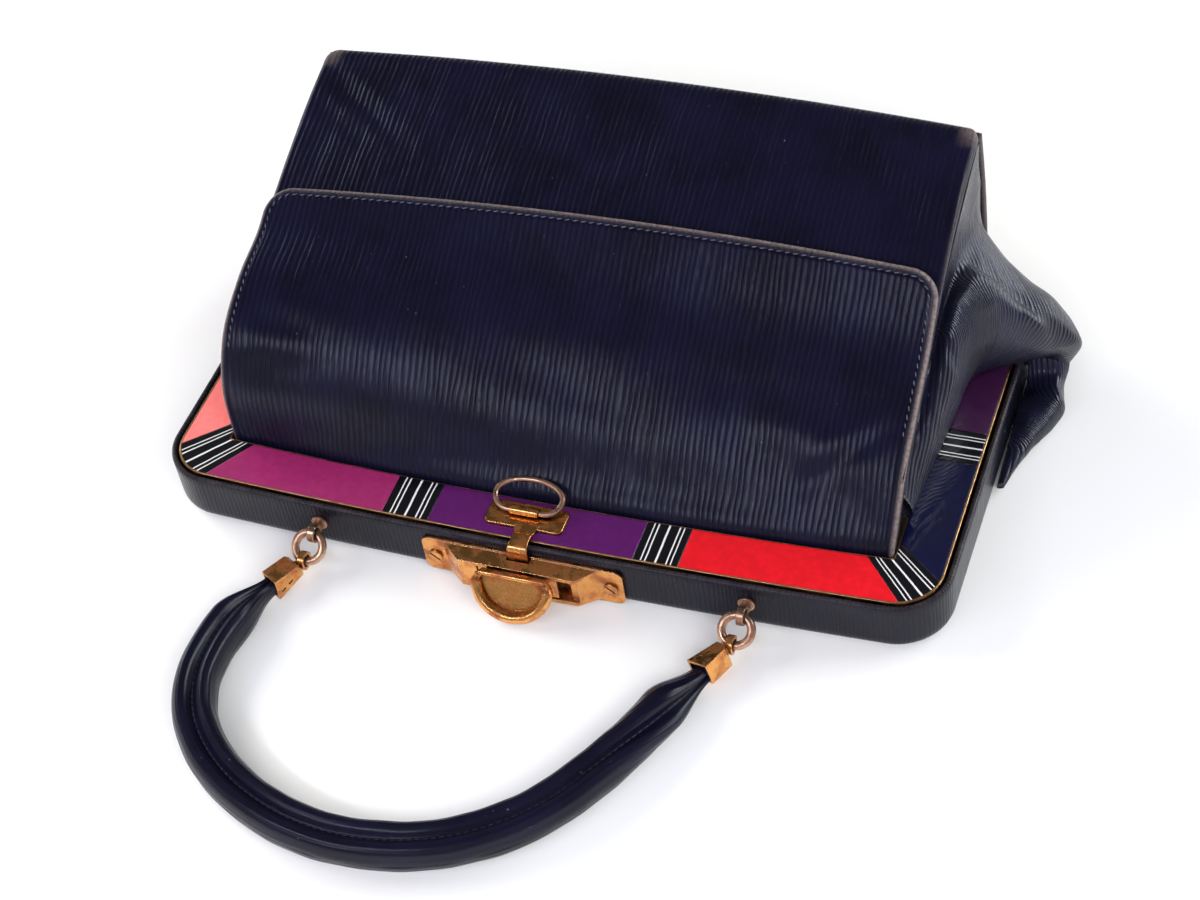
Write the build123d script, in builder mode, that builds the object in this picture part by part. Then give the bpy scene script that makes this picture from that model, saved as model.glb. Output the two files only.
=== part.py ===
# Framed leather handbag lying on its back panel, in millimetres
# +X along the width, +Y from the bar of the frame to the bottom of the bag, +Z up from the table
import os
from math import cos, hypot, radians, sin

from build123d import *

os.makedirs("parts", exist_ok=True)

# Frame
frame_width = 285.0
bar_to_hinge = 122.0
bar_crown = 3.2
wall_height = 20.3
corner_radius = 18.4
lower_edge_radius = 4.0
arm_tail = 6.0
cover_skin = 1.2
wall_inset = 2.2
flange_inset = 17.0
front_inset = 3.1
front_face_width = 17.6
sheet = 0.8
hinge_height = 10.0
hinge_pin_radius = 1.5

# Body of the bag
ridge_height = 96.65
ridge_run = 146.8           # from the bar's front line to the ridge, at the ends
ridge_bow = 5.4
side_gap = 0.5
leather = 2.0
layer_gap = 0.3

# Lock, hasp and ring
lock_x = -1.5
hasp_x = -3.25
neck_x = -1.6
slide_travel = 7.0

# Handle
post_x = 77.8
eye_drop = 7.8
eye_height = 12.2
ring_radius = 5.1
ring_wire = 1.5
link_bore = 2.25

bar_y = -bar_to_hinge
half_width = frame_width / 2
inner_inset = front_inset + front_face_width
body_half_width = half_width - inner_inset - side_gap
plate_top = wall_height - 1.1
enamel_top = wall_height - 0.05


# Outline of the frame moved inwards by an inset, with a bowed bar, two arms and a straight rear end
def frame_region(inset, rear):
    half = half_width - inset
    front = bar_y + inset
    with BuildSketch(mode=Mode.PRIVATE) as region:
        with BuildLine():
            ThreePointArc((-half, front), (0, front - bar_crown), (half, front))
            Polyline((half, front), (half, rear), (-half, rear), (-half, front))
        make_face()
        fillet(region.vertices().sort_by(Axis.Y)[:2], max(corner_radius - inset, 1.0))
    return region.sketch


# U-shaped band of the frame between two insets
def frame_band(outer, inner, rear):
    with BuildSketch(mode=Mode.PRIVATE) as band:
        add(frame_region(outer, rear))
        add(frame_region(inner, rear + 1), mode=Mode.SUBTRACT)
    return band.sketch


# Solid tray with the outline of the frame and a rounded lower edge
def tray(inset, bottom, top, rear):
    with BuildPart(mode=Mode.PRIVATE) as body:
        with BuildSketch(Plane.XY.offset(bottom)):
            add(frame_region(inset, rear))
        extrude(amount=top - bottom)
        lower = body.faces().sort_by(Axis.Z)[0].edges().sort_by(Axis.Y)[:-1]
        fillet(lower, lower_edge_radius - inset)
    return body.part


# Back half of the frame: leather cover over a steel angle
with BuildPart() as rim_cover:
    add(tray(0, 0, wall_height, arm_tail))
    add(tray(cover_skin, cover_skin, wall_height - cover_skin, arm_tail + 1), mode=Mode.SUBTRACT)
    with BuildSketch(Plane.XY.offset(cover_skin)):
        add(frame_region(wall_inset, arm_tail + 1))
    extrude(amount=wall_height, mode=Mode.SUBTRACT)
    with BuildSketch():
        add(frame_region(flange_inset, arm_tail + 1))
    extrude(amount=wall_height, mode=Mode.SUBTRACT)

with BuildPart() as back_frame:
    add(tray(cover_skin, cover_skin, wall_height - cover_skin, arm_tail))
    add(tray(wall_inset, wall_inset, wall_height, arm_tail + 1), mode=Mode.SUBTRACT)
    with BuildSketch():
        add(frame_region(flange_inset, arm_tail + 1))
    extrude(amount=wall_height, mode=Mode.SUBTRACT)
    with Locations((0, 0, hinge_height)):
        Cylinder(hinge_pin_radius, frame_width, rotation=(0, 90, 0), mode=Mode.SUBTRACT)

# Front half of the frame: a channel with its open side down and a lip along each edge of the enamel
skirt_bottom = 8.0
skirt_thickness = 1.0
lip_width = 0.45
lug_radius = 5.0
with BuildPart() as front_frame:
    with BuildSketch(Plane.XY.offset(plate_top - sheet)):
        add(frame_band(front_inset, inner_inset, arm_tail - 1))
    extrude(amount=sheet)
    with BuildSketch(Plane.XY.offset(skirt_bottom)):
        add(frame_band(front_inset, front_inset + skirt_thickness, arm_tail - 1))
        add(frame_band(inner_inset - skirt_thickness, inner_inset, arm_tail - 1))
    extrude(amount=plate_top - skirt_bottom)
    with BuildSketch(Plane.XY.offset(plate_top)):
        add(frame_band(front_inset, front_inset + lip_width, arm_tail - 1))
        add(frame_band(inner_inset - lip_width, inner_inset, arm_tail - 1))
    extrude(amount=enamel_top - plate_top - 0.2)
    skirt_x = half_width - front_inset - skirt_thickness / 2
    with Locations((-skirt_x, 0, hinge_height), (skirt_x, 0, hinge_height)):
        Cylinder(lug_radius, skirt_thickness, rotation=(0, 90, 0))
        Cylinder(hinge_pin_radius + 0.3, skirt_thickness, rotation=(0, 90, 0), mode=Mode.SUBTRACT)


# Hinge pin from the steel wall through the lug, with a shoulder and a head; side is -1 for left and 1 for right
def hinge_pin(side):
    wall_outside = half_width - cover_skin
    lug_outside = half_width - front_inset
    shoulder = half_width - wall_inset
    lug_inside = lug_outside - skirt_thickness
    with BuildPart(mode=Mode.PRIVATE) as pin:
        for start, end, radius in (
            (lug_inside - 1.3, wall_outside, hinge_pin_radius),
            (lug_outside + 0.3, shoulder, 2.6),
            (lug_inside - 1.3, lug_inside - 0.3, 2.8),
        ):
            with Locations((side * (start + end) / 2, 0, hinge_height)):
                Cylinder(radius, end - start, rotation=(0, 90, 0))
    return pin.part


# Enamel fields: each joint is a line from the inner to the outer edge, from the left arm round to the right arm
inner_x = half_width - inner_inset - 2
outer_x = half_width + 2.5
arm_end = arm_tail - 1
enamel_joints = [
    ((-inner_x, arm_end), (-outer_x, arm_end)),
    ((-inner_x, bar_y + 81.0), (-outer_x, bar_y + 81.0)),
    ((-inner_x, bar_y + 66.3), (-outer_x, bar_y + 66.3)),
    ((22.7 - half_width, bar_y + 31.4), (-half_width - 2, bar_y + 8.7)),
    ((33.7 - half_width, bar_y + 24.1), (15.9 - half_width, bar_y - 1.9)),
    ((-53.9, bar_y + 22), (-53.9, bar_y - 6)),
    ((-36.8, bar_y + 22), (-36.8, bar_y - 6)),
    ((37.8, bar_y + 22), (37.8, bar_y - 6)),
    ((53.5, bar_y + 22), (53.5, bar_y - 6)),
    ((half_width - 33.2, bar_y + 23.9), (half_width - 11.3, bar_y - 0.4)),
    ((half_width - 24.9, bar_y + 31.4), (half_width + 5.4, bar_y + 7.2)),
    ((inner_x, bar_y + 66.3), (outer_x, bar_y + 66.3)),
    ((inner_x, bar_y + 81.0), (outer_x, bar_y + 81.0)),
    ((inner_x, arm_end), (outer_x, arm_end)),
]
enamel_names = [
    "enamel_rear_left", "band_arm_left", "enamel_coral", "band_corner_left", "enamel_magenta",
    "band_bar_left", "enamel_purple", "band_bar_right", "enamel_red", "band_corner_right",
    "enamel_navy", "band_arm_right", "enamel_plum",
]


# One enamel field between two neighbouring joints
def enamel_field(first, second):
    with BuildPart(mode=Mode.PRIVATE) as field:
        with BuildSketch(Plane.XY.offset(plate_top)):
            add(frame_band(front_inset + lip_width, inner_inset - lip_width, arm_tail - 1))
            with BuildLine():
                Polyline(first[0], first[1], second[1], second[0], close=True)
            make_face(mode=Mode.INTERSECT)
        extrude(amount=enamel_top - plate_top)
    return field.part


enamel_parts = [enamel_field(a, b) for a, b in zip(enamel_joints, enamel_joints[1:])]

# Hasp: plate on the enamel, neck over the rim, tongue down into the lock and a tube for the pull ring
hasp_sheet = 1.4
hasp_bottom = enamel_top
tongue_front = bar_y - 5.6
tongue_thickness = 1.0
tongue_width = 7.2
tongue_tip = 9.0
neck_bottom = wall_height + 0.35
neck_top = neck_bottom + tongue_thickness
tube_y = bar_y + 10.0
tube_z = hasp_bottom + hasp_sheet + 1.35
tube_length = 10.4
ring_x = -3.9
with BuildPart() as hasp_plate:
    with BuildSketch(Plane.XY.offset(hasp_bottom)):
        with Locations((hasp_x, bar_y + 9.5)):
            RectangleRounded(28.4, 10.5, 2.0)
    extrude(amount=hasp_sheet)
    with BuildSketch(Plane.YZ.offset(neck_x - tongue_width / 2)):
        with BuildLine():
            Polyline(
                (bar_y + 6, neck_bottom), (bar_y + 6, neck_top), (tongue_front, neck_top),
                (tongue_front, tongue_tip), (tongue_front + tongue_thickness, tongue_tip),
                (tongue_front + tongue_thickness, neck_bottom), (bar_y + 6, neck_bottom),
            )
        make_face()
    extrude(amount=tongue_width)
    fillet(hasp_plate.edges().filter_by(Axis.X).group_by(Axis.Y)[0].sort_by(Axis.Z)[-1], 0.9)
    with Locations((neck_x + tongue_width / 2, tongue_front + tongue_thickness / 2, 11.9)):
        Box(3.4, 3, 3.0, mode=Mode.SUBTRACT)
    with Locations((ring_x, tube_y, tube_z)):
        Cylinder(1.75, tube_length, rotation=(0, 90, 0))
        Cylinder(1.15, tube_length, rotation=(0, 90, 0), mode=Mode.SUBTRACT)


# Pull ring, an oval of round wire through the tube of the hasp, leaning back on the front of the bag
ring_length = 24.2
ring_height = 11.8
pull_wire = 0.85
ring_lean = 20.0
with BuildPart() as pull_ring:
    lean = Plane(origin=(ring_x, tube_y, tube_z), z_dir=(0, 0, 1)).rotated((ring_lean, 0, 0))
    with BuildLine(lean) as ring_path:
        bend = 5.6
        chord = ring_length / 2 - bend
        Line((-chord, 0), (chord, 0))
        JernArc((chord, 0), (1, 0), bend, 90)
        EllipticalCenterArc((0, bend), ring_length / 2, ring_height - bend, start_angle=0, arc_size=180)
        JernArc((-chord - bend, bend), (0, -1), bend, 90)
    with BuildSketch(Plane(origin=ring_path.wires()[0] @ 0, z_dir=ring_path.wires()[0] % 0)):
        Circle(pull_wire)
    sweep(path=ring_path.wires()[0])

# Lock case: ears on the face of the rim and a box that steps out between them
ear_back = bar_y - bar_crown - 0.05
ear_front = ear_back - 1.0
box_front = bar_y - 9.5
box_bottom = 2.0
box_top = 15.0
slot_height = 12.5
with BuildPart() as lock_case:
    with BuildSketch(Plane.XZ.offset(-ear_back)):
        with Locations((lock_x, 9)):
            RectangleRounded(73, 16, 3)
    extrude(amount=1.0)
    with BuildPart(mode=Mode.PRIVATE) as box:
        with BuildSketch(Plane.XY.offset(box_bottom)):
            with Locations((lock_x, 0)):
                Polygon(
                    (-28, ear_front), (-21, box_front), (21, box_front), (28, ear_front), align=None
                )
        extrude(amount=wall_height)
        with BuildSketch(Plane.YZ.offset(-frame_width / 2)):
            Polygon(
                (ear_front, box_bottom), (box_front, box_bottom), (box_front, box_top),
                (ear_front, box_top + 1.4), align=None,
            )
        extrude(amount=frame_width, mode=Mode.INTERSECT)
    add(box.part)
    with Locations((lock_x, ear_front - 2.15, 8.5)):
        Box(38, 4.3, 11, mode=Mode.SUBTRACT)
    with Locations((neck_x, tongue_front + 0.3, box_top)):
        Box(tongue_width + 1.2, 2.1, 6, mode=Mode.SUBTRACT)
    with Locations((lock_x + 0.25 + slide_travel / 2, box_front, 8.6)):
        Box(29.2 + slide_travel, 3, 10.0, mode=Mode.SUBTRACT)
    with Locations((lock_x - 32, ear_front, 8.7), (lock_x + 32, ear_front, 8.7)):
        Cylinder(1.3, 4, rotation=(90, 0, 0), mode=Mode.SUBTRACT)


# Slotted screw through an ear of the lock
def lock_screw(x):
    with BuildPart(mode=Mode.PRIVATE) as screw:
        with BuildSketch(Plane.XZ.offset(-ear_back)):
            with Locations((x, 8.7)):
                Circle(1.25)
        extrude(amount=1.0)
        with BuildSketch(Plane.XZ.offset(-ear_front)):
            with Locations((x, 8.7)):
                Circle(2.5)
        extrude(amount=1.0)
        fillet(screw.faces().sort_by(Axis.Y)[0].edges(), 0.4)
        with Locations((x, ear_front - 1.0, 8.7)):
            Box(6, 1.0, 0.7, rotation=(0, 40, 0), mode=Mode.SUBTRACT)
    return screw.part


# Thumb slide: dished half-round plate with a knurled rim, leaning out from the lock, and its stem
slide_x = lock_x + 0.25
slide_top = Plane(origin=(slide_x, bar_y - 10.8, 15.2), x_dir=(1, 0, 0), z_dir=(0, -0.877, 0.48))
rim_radius = 14.2
with BuildPart() as thumb_slide:
    with BuildSketch(slide_top):
        with BuildLine():
            Line((11.7, 0), (-11.7, 0))
            ThreePointArc((-11.7, 0), (-13.7, -3), (-13.6, -6.5))
            ThreePointArc((-13.6, -6.5), (0, -16.5), (13.6, -6.5))
            ThreePointArc((13.6, -6.5), (13.7, -3), (11.7, 0))
        make_face()
        with Locations((0, rim_radius - 16.5)):
            with PolarLocations(rim_radius, 29, start_angle=200, angular_range=140):
                Rectangle(0.7, 0.7, rotation=45, mode=Mode.SUBTRACT)
    extrude(amount=2.4)
    with BuildSketch(slide_top.offset(1.2)):
        with BuildLine():
            Line((10.6, -1.4), (-10.6, -1.4))
            ThreePointArc((-10.6, -1.4), (-11.7, -3.5), (-11.6, -6.2))
            ThreePointArc((-11.6, -6.2), (0, -14.5), (11.6, -6.2))
            ThreePointArc((11.6, -6.2), (11.7, -3.5), (10.6, -1.4))
        make_face()
    extrude(amount=2, mode=Mode.SUBTRACT)
    with BuildSketch(Plane.XZ.offset(-(box_front + 1.3))):
        with Locations((slide_x, 8.6)):
            Rectangle(28.4, 9.2)
    extrude(amount=1.0)
    with BuildSketch(Plane.XZ.offset(-(box_front + 1.3))):
        with Locations((slide_x, slot_height)):
            Rectangle(22, 1.4)
    extrude(amount=5.0)

# Bolt behind the stem, beside the tongue
with BuildPart() as lock_bolt:
    bolt_left = neck_x + tongue_width / 2 + 0.3
    with Locations((bolt_left, box_front + 1.3, 11.0)):
        Box(7.0, 3.2, 2.6, align=(Align.MIN, Align.MIN, Align.MIN))


# Handle post with its washer and eye
def handle_post(x):
    face = bar_y - bar_crown * (1 - (x / half_width) ** 2) - 0.1
    eye_y = bar_y - eye_drop
    with BuildPart(mode=Mode.PRIVATE) as post:
        with BuildSketch(Plane.XZ.offset(-face)):
            with Locations((x, eye_height)):
                Circle(2.9)
        extrude(amount=0.9)
        with BuildSketch(Plane.XZ.offset(-face)):
            with Locations((x, eye_height)):
                Circle(1.9)
        extrude(amount=face - eye_y - 2.6)
        with Locations((x, eye_y, eye_height)):
            Cylinder(3.4, 2.4, rotation=(0, 90, 0))
            Cylinder(link_bore, 2.4, rotation=(0, 90, 0), mode=Mode.SUBTRACT)
    return post.part


# Link ring hanging forwards and down from the eye of a post
link_slope = (0, 0.6374, -0.7705)
link_y = bar_y - eye_drop - 3.85
link_z = eye_height - 3.19


def link_ring(x):
    with BuildPart(mode=Mode.PRIVATE) as ring:
        with Locations(Plane(origin=(x - 1.0, link_y, link_z), x_dir=(1, 0, 0), z_dir=link_slope)):
            Torus(ring_radius, ring_wire)
    return ring.part


# Handle: two leather rolls along one arch, held at each end by a wedge-shaped clip folded from brass
clip_y = bar_y - eye_drop - 7.7
clip_z = eye_height - 6.38
clip_left = (-post_x - 2.0, (-0.49, -0.87), 0)
clip_right = (post_x - 2.0, (-0.40, -0.916), -70)
clip_length = 14.5
clip_width = 7.4
clip_sheet = 0.8
clip_side = [(3.4, -1.6), (3.4, 1.6), (5.0, 3.6), (clip_length, 3.6), (clip_length, -5.4)]
handle_z = 6.7


# Plane through the loop of a clip: x runs into the handle, y up across the clip, turned about x by the roll
def clip_plane(x, aim, roll):
    across = cos(radians(roll))
    side = (aim[1] * across, -aim[0] * across, -sin(radians(roll)))
    return Plane(origin=(x, clip_y, clip_z), x_dir=(*aim, 0), z_dir=side)


# Clip with its loop and the two slits of its prongs; inner is the side that faces the hand gap
def handle_clip(x, aim, roll, inner):
    along = clip_plane(x, aim, roll)
    with BuildPart(mode=Mode.PRIVATE) as clip:
        with BuildSketch(along):
            Polygon(*clip_side, align=None)
        extrude(amount=clip_width / 2, both=True)
        with BuildSketch(along):
            with BuildLine():
                Polyline(
                    (clip_side[2][0] + 0.6, 2.8), (clip_length + 1, 2.8),
                    (clip_length + 1, -4.9), (clip_side[2][0] + 0.6, -1.5), close=True,
                )
            make_face()
        extrude(amount=clip_width / 2 - clip_sheet, both=True, mode=Mode.SUBTRACT)
        with BuildSketch(along.offset(inner * clip_width / 2)):
            with Locations((8.6, -1.0), (12.0, -2.3)):
                SlotOverall(2.2, 0.7, rotation=-20)
        extrude(amount=-inner * clip_sheet, mode=Mode.SUBTRACT)
        with BuildSketch(along):
            with Locations((2.2, 0)):
                Rectangle(3.0, 2.6)
        extrude(amount=1.3, both=True)
        with Locations((x, clip_y, clip_z)):
            Cylinder(3.3, 2.4, rotation=(0, 90, 0))
            Cylinder(link_bore, 6, rotation=(0, 90, 0), mode=Mode.SUBTRACT)
    return clip.part


# Point on the level axis of a clip at a distance from its loop
def clip_point(clip, distance):
    x, aim, roll = clip
    return (x + aim[0] * distance, clip_y + aim[1] * distance, handle_z)


# Arch of the handle as tangent arcs from left to right: (radius as a part of post_x, angle)
arch_arcs = [(0.972, 16.0), (0.607, 46.7), (1.066, 16.9), (0.967, 75.0), (1.593, 43.7)]
with BuildPart() as handle_grip:
    roll_start = clip_length + 0.6
    with BuildLine() as arch:
        point, heading = clip_point(clip_left, roll_start), (*clip_left[1], 0)
        for ratio, angle in arch_arcs:
            arc = JernArc(point, heading, ratio * post_x, angle)
            point, heading = arc @ 1, arc % 1
    arch_wire = arch.wires()[0]
    with BuildSketch(Plane(origin=arch_wire @ 0, x_dir=(-clip_left[1][1], clip_left[1][0], 0), z_dir=arch_wire % 0)):
        with Locations((-3.6, 0), (3.6, 0)):
            Ellipse(3.9, 6.3)
    sweep(path=arch_wire)
    for clip in (clip_left, clip_right):
        with BuildSketch(clip_plane(*clip)):
            with Locations((9.5, -0.4)):
                Rectangle(roll_start - 7.5, 4.6, align=(Align.MIN, Align.CENTER))
        extrude(amount=clip_width / 2 - clip_sheet - 0.2, both=True)

# Profiles of the leather across the bag as (distance from the bar line, height), at the left, middle and right
overlay_profiles = [
    [(21.7, 13), (21.9, 24), (24, 43), (34, 59.5), (54, 70.5), (73, 75.5), (86.6, 83)],
    [(18.3, 13), (19.2, 21), (25, 27), (36, 41), (55, 57), (76, 70.5), (94, 84)],
    [(21.7, 13), (22.2, 21), (28, 29), (44, 45.5), (59, 54.8), (74, 64.5), (88, 80.5)],
]
front_tails = [
    [(104, ridge_height - 12.2), (125, ridge_height - 5.2), (ridge_run, ridge_height)],
    [(108, ridge_height - 11.7), (130, ridge_height - 4.7), (ridge_run + ridge_bow, ridge_height)],
    [(106, ridge_height - 13.2), (126, ridge_height - 5.2), (ridge_run, ridge_height)],
]
section_x = (-body_half_width, 0, body_half_width)


# Points moved sideways, to the right of their direction of travel
def shifted(points, distance):
    moved = []
    for i, (y, z) in enumerate(points):
        y0, z0 = points[max(i - 1, 0)]
        y1, z1 = points[min(i + 1, len(points) - 1)]
        length = hypot(y1 - y0, z1 - z0)
        moved.append((y + distance * (z1 - z0) / length, z - distance * (y1 - y0) / length))
    return moved


# Sheet of leather lofted through one profile at each of the three sections
def leather_sheet(profiles, depth, thickness, half):
    with BuildPart(mode=Mode.PRIVATE) as sheet_part:
        for x, profile in zip((-half, 0, half), profiles):
            points = [(bar_y + y, z) for y, z in profile]
            outer = shifted(points, depth)
            inner = shifted(points, depth + thickness)
            with BuildSketch(Plane.YZ.offset(x)):
                with BuildLine():
                    Spline(*outer)
                    Line(outer[-1], inner[-1])
                    Spline(*inner[::-1])
                    Line(inner[0], outer[0])
                make_face()
        loft()
    return sheet_part.part


overlay = leather_sheet(overlay_profiles, 0, leather, body_half_width)
panel_profiles = [
    shifted(top, leather + layer_gap)[:-1] + tail for top, tail in zip(overlay_profiles, front_tails)
]
front_panel = leather_sheet(panel_profiles, 0, leather, body_half_width)
lining_profiles = [profile[:-1] + [(profile[-1][0] - 4, profile[-1][1] - 0.8)] for profile in panel_profiles]
lining_front = leather_sheet(lining_profiles, leather + 2 * layer_gap, 0.8, body_half_width - 2)

# Base, back and lining
base_gap = 0.2
base_top = ridge_height - leather - base_gap - 0.6
base_profiles = [
    [(run, base_top), (run + 4, 0.77 * base_top), (run + 6.5, base_top / 2), (run + 6.5, 20), (run + 3, 2.4)]
    for run in (ridge_run - 0.4, ridge_run + ridge_bow - 0.4, ridge_run - 0.4)
]
base_panel = leather_sheet(base_profiles, 0, 2.5, body_half_width)
base_rear = 28.0
with BuildPart() as back_panel:
    with BuildSketch():
        add(frame_region(flange_inset + 0.1, base_rear))
        fillet(vertices().sort_by(Axis.Y)[-2:], 6)
    extrude(amount=2.2)
with BuildPart() as lining_back:
    with BuildSketch(Plane.XY.offset(2.2)):
        add(frame_region(flange_inset + 4, base_rear - 6))
    extrude(amount=0.8)


# Gusset folded out beyond the arm, drawn for the right side: a fold above the arm and a lobe beside it
def gusset():
    with BuildPart(mode=Mode.PRIVATE) as fold:
        arm_top = wall_height + 1.0
        body_side = body_half_width + 0.1
        for y, points in (
            (bar_y + 40, [(body_side, 31), (body_side + 3, 29), (body_side + 4, 24)]),
            (bar_y + 80, [(body_side, 50), (body_side + 13, 34), (body_side + 20, 24)]),
            (bar_y + 120, [(body_side, 62), (body_side + 26.6, 41), (half_width + 18, 26)]),
            (bar_y + 147, [(body_side, 84), (body_side + 3.6, 50), (body_side + 11.6, 28)]),
        ):
            with BuildSketch(Plane.XZ.offset(-y)):
                Polygon(*points, (points[-1][0] - 1, arm_top), (body_side, arm_top), align=None)
        loft()
        with BuildSketch(Plane.XY.offset(0.4)):
            with BuildLine():
                edge = half_width + 0.6
                Polyline(
                    (edge + 3, bar_y + 76), (edge, bar_y + 76), (edge, arm_tail + 1),
                    (body_side + 4, arm_tail + 1), (body_side + 4, bar_y + 148),
                )
                Spline(
                    (body_side + 4, bar_y + 148), (edge + 5, bar_y + 143), (edge + 16, bar_y + 128),
                    (edge + 16, bar_y + 112), (edge + 8, bar_y + 93), (edge + 3, bar_y + 76),
                )
            make_face()
        extrude(amount=arm_top)
    return fold.part


gusset_right = gusset()
gusset_left = mirror(gusset_right, about=Plane.YZ)

pieces = {
    "rim_cover": rim_cover.part,
    "back_frame": back_frame.part,
    "hinge_pin_left": hinge_pin(-1),
    "hinge_pin_right": hinge_pin(1),
    "back_panel": back_panel.part,
    "base_panel": base_panel,
    "front_panel": front_panel,
    "front_overlay": overlay,
    "gusset_left": gusset_left,
    "gusset_right": gusset_right,
    "lining_back": lining_back.part,
    "lining_front": lining_front,
    "lock_case": lock_case.part,
    "lock_screw_left": lock_screw(lock_x - 32),
    "lock_screw_right": lock_screw(lock_x + 32),
    "handle_post_left": handle_post(-post_x),
    "handle_post_right": handle_post(post_x),
    "front_frame": front_frame.part,
    "hasp_plate": hasp_plate.part,
    "pull_ring": pull_ring.part,
    "thumb_slide": thumb_slide.part,
    "lock_bolt": lock_bolt.part,
    "ring_left": link_ring(-post_x),
    "ring_right": link_ring(post_x),
    "clip_left": handle_clip(*clip_left, inner=-1),
    "clip_right": handle_clip(*clip_right, inner=1),
    "handle_grip": handle_grip.part,
}
pieces.update(zip(enamel_names, enamel_parts))

for name, piece in pieces.items():
    piece.label = name
    export_step(piece, f"parts/{name}.step")
    print(name, round(piece.volume, 1), len(piece.solids()))
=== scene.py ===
import bpy
import numpy as np
from mathutils import Matrix, Vector


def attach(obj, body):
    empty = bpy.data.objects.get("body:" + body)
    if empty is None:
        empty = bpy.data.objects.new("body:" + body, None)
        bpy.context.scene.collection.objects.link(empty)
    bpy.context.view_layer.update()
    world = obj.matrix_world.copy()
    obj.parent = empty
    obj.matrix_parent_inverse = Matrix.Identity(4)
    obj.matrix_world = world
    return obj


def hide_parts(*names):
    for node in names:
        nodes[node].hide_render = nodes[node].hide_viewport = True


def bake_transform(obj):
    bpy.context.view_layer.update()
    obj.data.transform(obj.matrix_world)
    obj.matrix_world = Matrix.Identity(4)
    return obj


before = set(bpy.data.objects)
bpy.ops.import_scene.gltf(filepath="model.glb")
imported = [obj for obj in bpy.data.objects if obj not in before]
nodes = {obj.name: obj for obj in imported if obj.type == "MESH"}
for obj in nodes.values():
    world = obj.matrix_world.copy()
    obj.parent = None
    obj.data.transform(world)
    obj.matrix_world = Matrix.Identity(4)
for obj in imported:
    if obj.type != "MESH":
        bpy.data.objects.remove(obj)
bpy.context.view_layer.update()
barLine = -122.0
print("frame loaded")


# Metres in the frame from millimetres measured across, from the bar line and up
def placed(across, run, up):
    return np.stack(np.broadcast_arrays(across, np.asarray(run) + barLine, up), -1) / 1000.0


# The same from one array whose last axis holds across, run and up
def placedPoints(points):
    return placed(*np.moveaxis(points, -1, 0))


# Distance run along a line of points up to each of them
def runLength(line):
    return np.r_[0, np.cumsum(np.linalg.norm(np.diff(line, axis=0), axis=1))]


# Smooth step 3t² - 2t³ of the values clipped to 0 to 1
def eased(values):
    t = np.clip(values, 0, 1)
    return t * t * (3 - 2 * t)


# Distances from two sides with the corner between them rounded: where both are under the radius,
# the square of the corner is pushed onto its quarter circle
def roundedCorner(toSide, toFar, radius):
    p, q = np.maximum(radius - toSide, 0), np.maximum(radius - toFar, 0)
    pull = np.where((p > 0) & (q > 0), np.maximum(p, q) / np.maximum(np.hypot(p, q), 1e-9), 1)
    return np.where(p > 0, radius - p * pull, toSide), np.where(q > 0, radius - q * pull, toFar)


# Cubic through the knots over their chord length; the slope at a knot is the mean of its two
# chords, each weighted by the length of the other
def smoothCurve(knots, count):
    knots = np.asarray(knots, float)
    flat = knots.reshape(len(knots), -1)
    step = np.maximum(np.linalg.norm(np.diff(flat, axis=0), axis=1), 1e-9)
    return hermite(np.r_[0, np.cumsum(step)], knots, np.linspace(0, step.sum(), count))


# Value at each place of the cubic through the knots at the stations
def hermite(stations, knots, places):
    stations, knots = np.asarray(stations, float), np.asarray(knots, float)
    step = np.diff(stations).reshape(-1, *[1] * (knots.ndim - 1))
    chord = np.diff(knots, axis=0) / step
    middle = (chord[1:] * step[:-1] + chord[:-1] * step[1:]) / (step[1:] + step[:-1])
    slope = np.concatenate([chord[:1], middle, chord[-1:]])
    index = np.clip(np.searchsorted(stations, places, side="right") - 1, 0, len(stations) - 2)
    shape = (-1, *[1] * (knots.ndim - 1))
    h = step[index]
    t = ((places - stations[index]).reshape(shape)) / h
    return (
        knots[index] * (1 + 2 * t) * (1 - t) ** 2
        + slope[index] * h * t * (1 - t) ** 2
        + knots[index + 1] * t * t * (3 - 2 * t)
        + slope[index + 1] * h * t * t * (t - 1)
    )


# Quads between neighbouring rows and columns of a grid of points, counted from the first point
def gridFaces(rows, columns, first=0, wrap=False, flip=False):
    i, j = np.meshgrid(np.arange(rows - 1), np.arange(columns if wrap else columns - 1), indexing="ij")
    right = (j + 1) % columns
    here, after = first + i * columns, first + (i + 1) * columns
    quads = np.stack([here + j, here + right, after + right, after + j], -1).reshape(-1, 4)
    return (quads[:, ::-1] if flip else quads).tolist()


# Smooth mesh with point attributes: grain is the place in the flat leather, wear a value from 0 to
# 1
def meshObject(name, points, faces, **attributes):
    mesh = bpy.data.meshes.new(name)
    mesh.from_pydata(np.asarray(points).reshape(-1, 3).tolist(), [], faces)
    mesh.polygons.foreach_set("use_smooth", np.ones(len(mesh.polygons), bool))
    for key, values in attributes.items():
        values = np.asarray(values, np.float32)
        vector = values.ndim > 1
        layer = mesh.attributes.new(key, "FLOAT_VECTOR" if vector else "FLOAT", "POINT")
        layer.data.foreach_set("vector" if vector else "value", values.ravel())
    mesh.validate()
    made = bpy.data.objects.new(name, mesh)
    bpy.context.scene.collection.objects.link(made)
    return made


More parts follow.
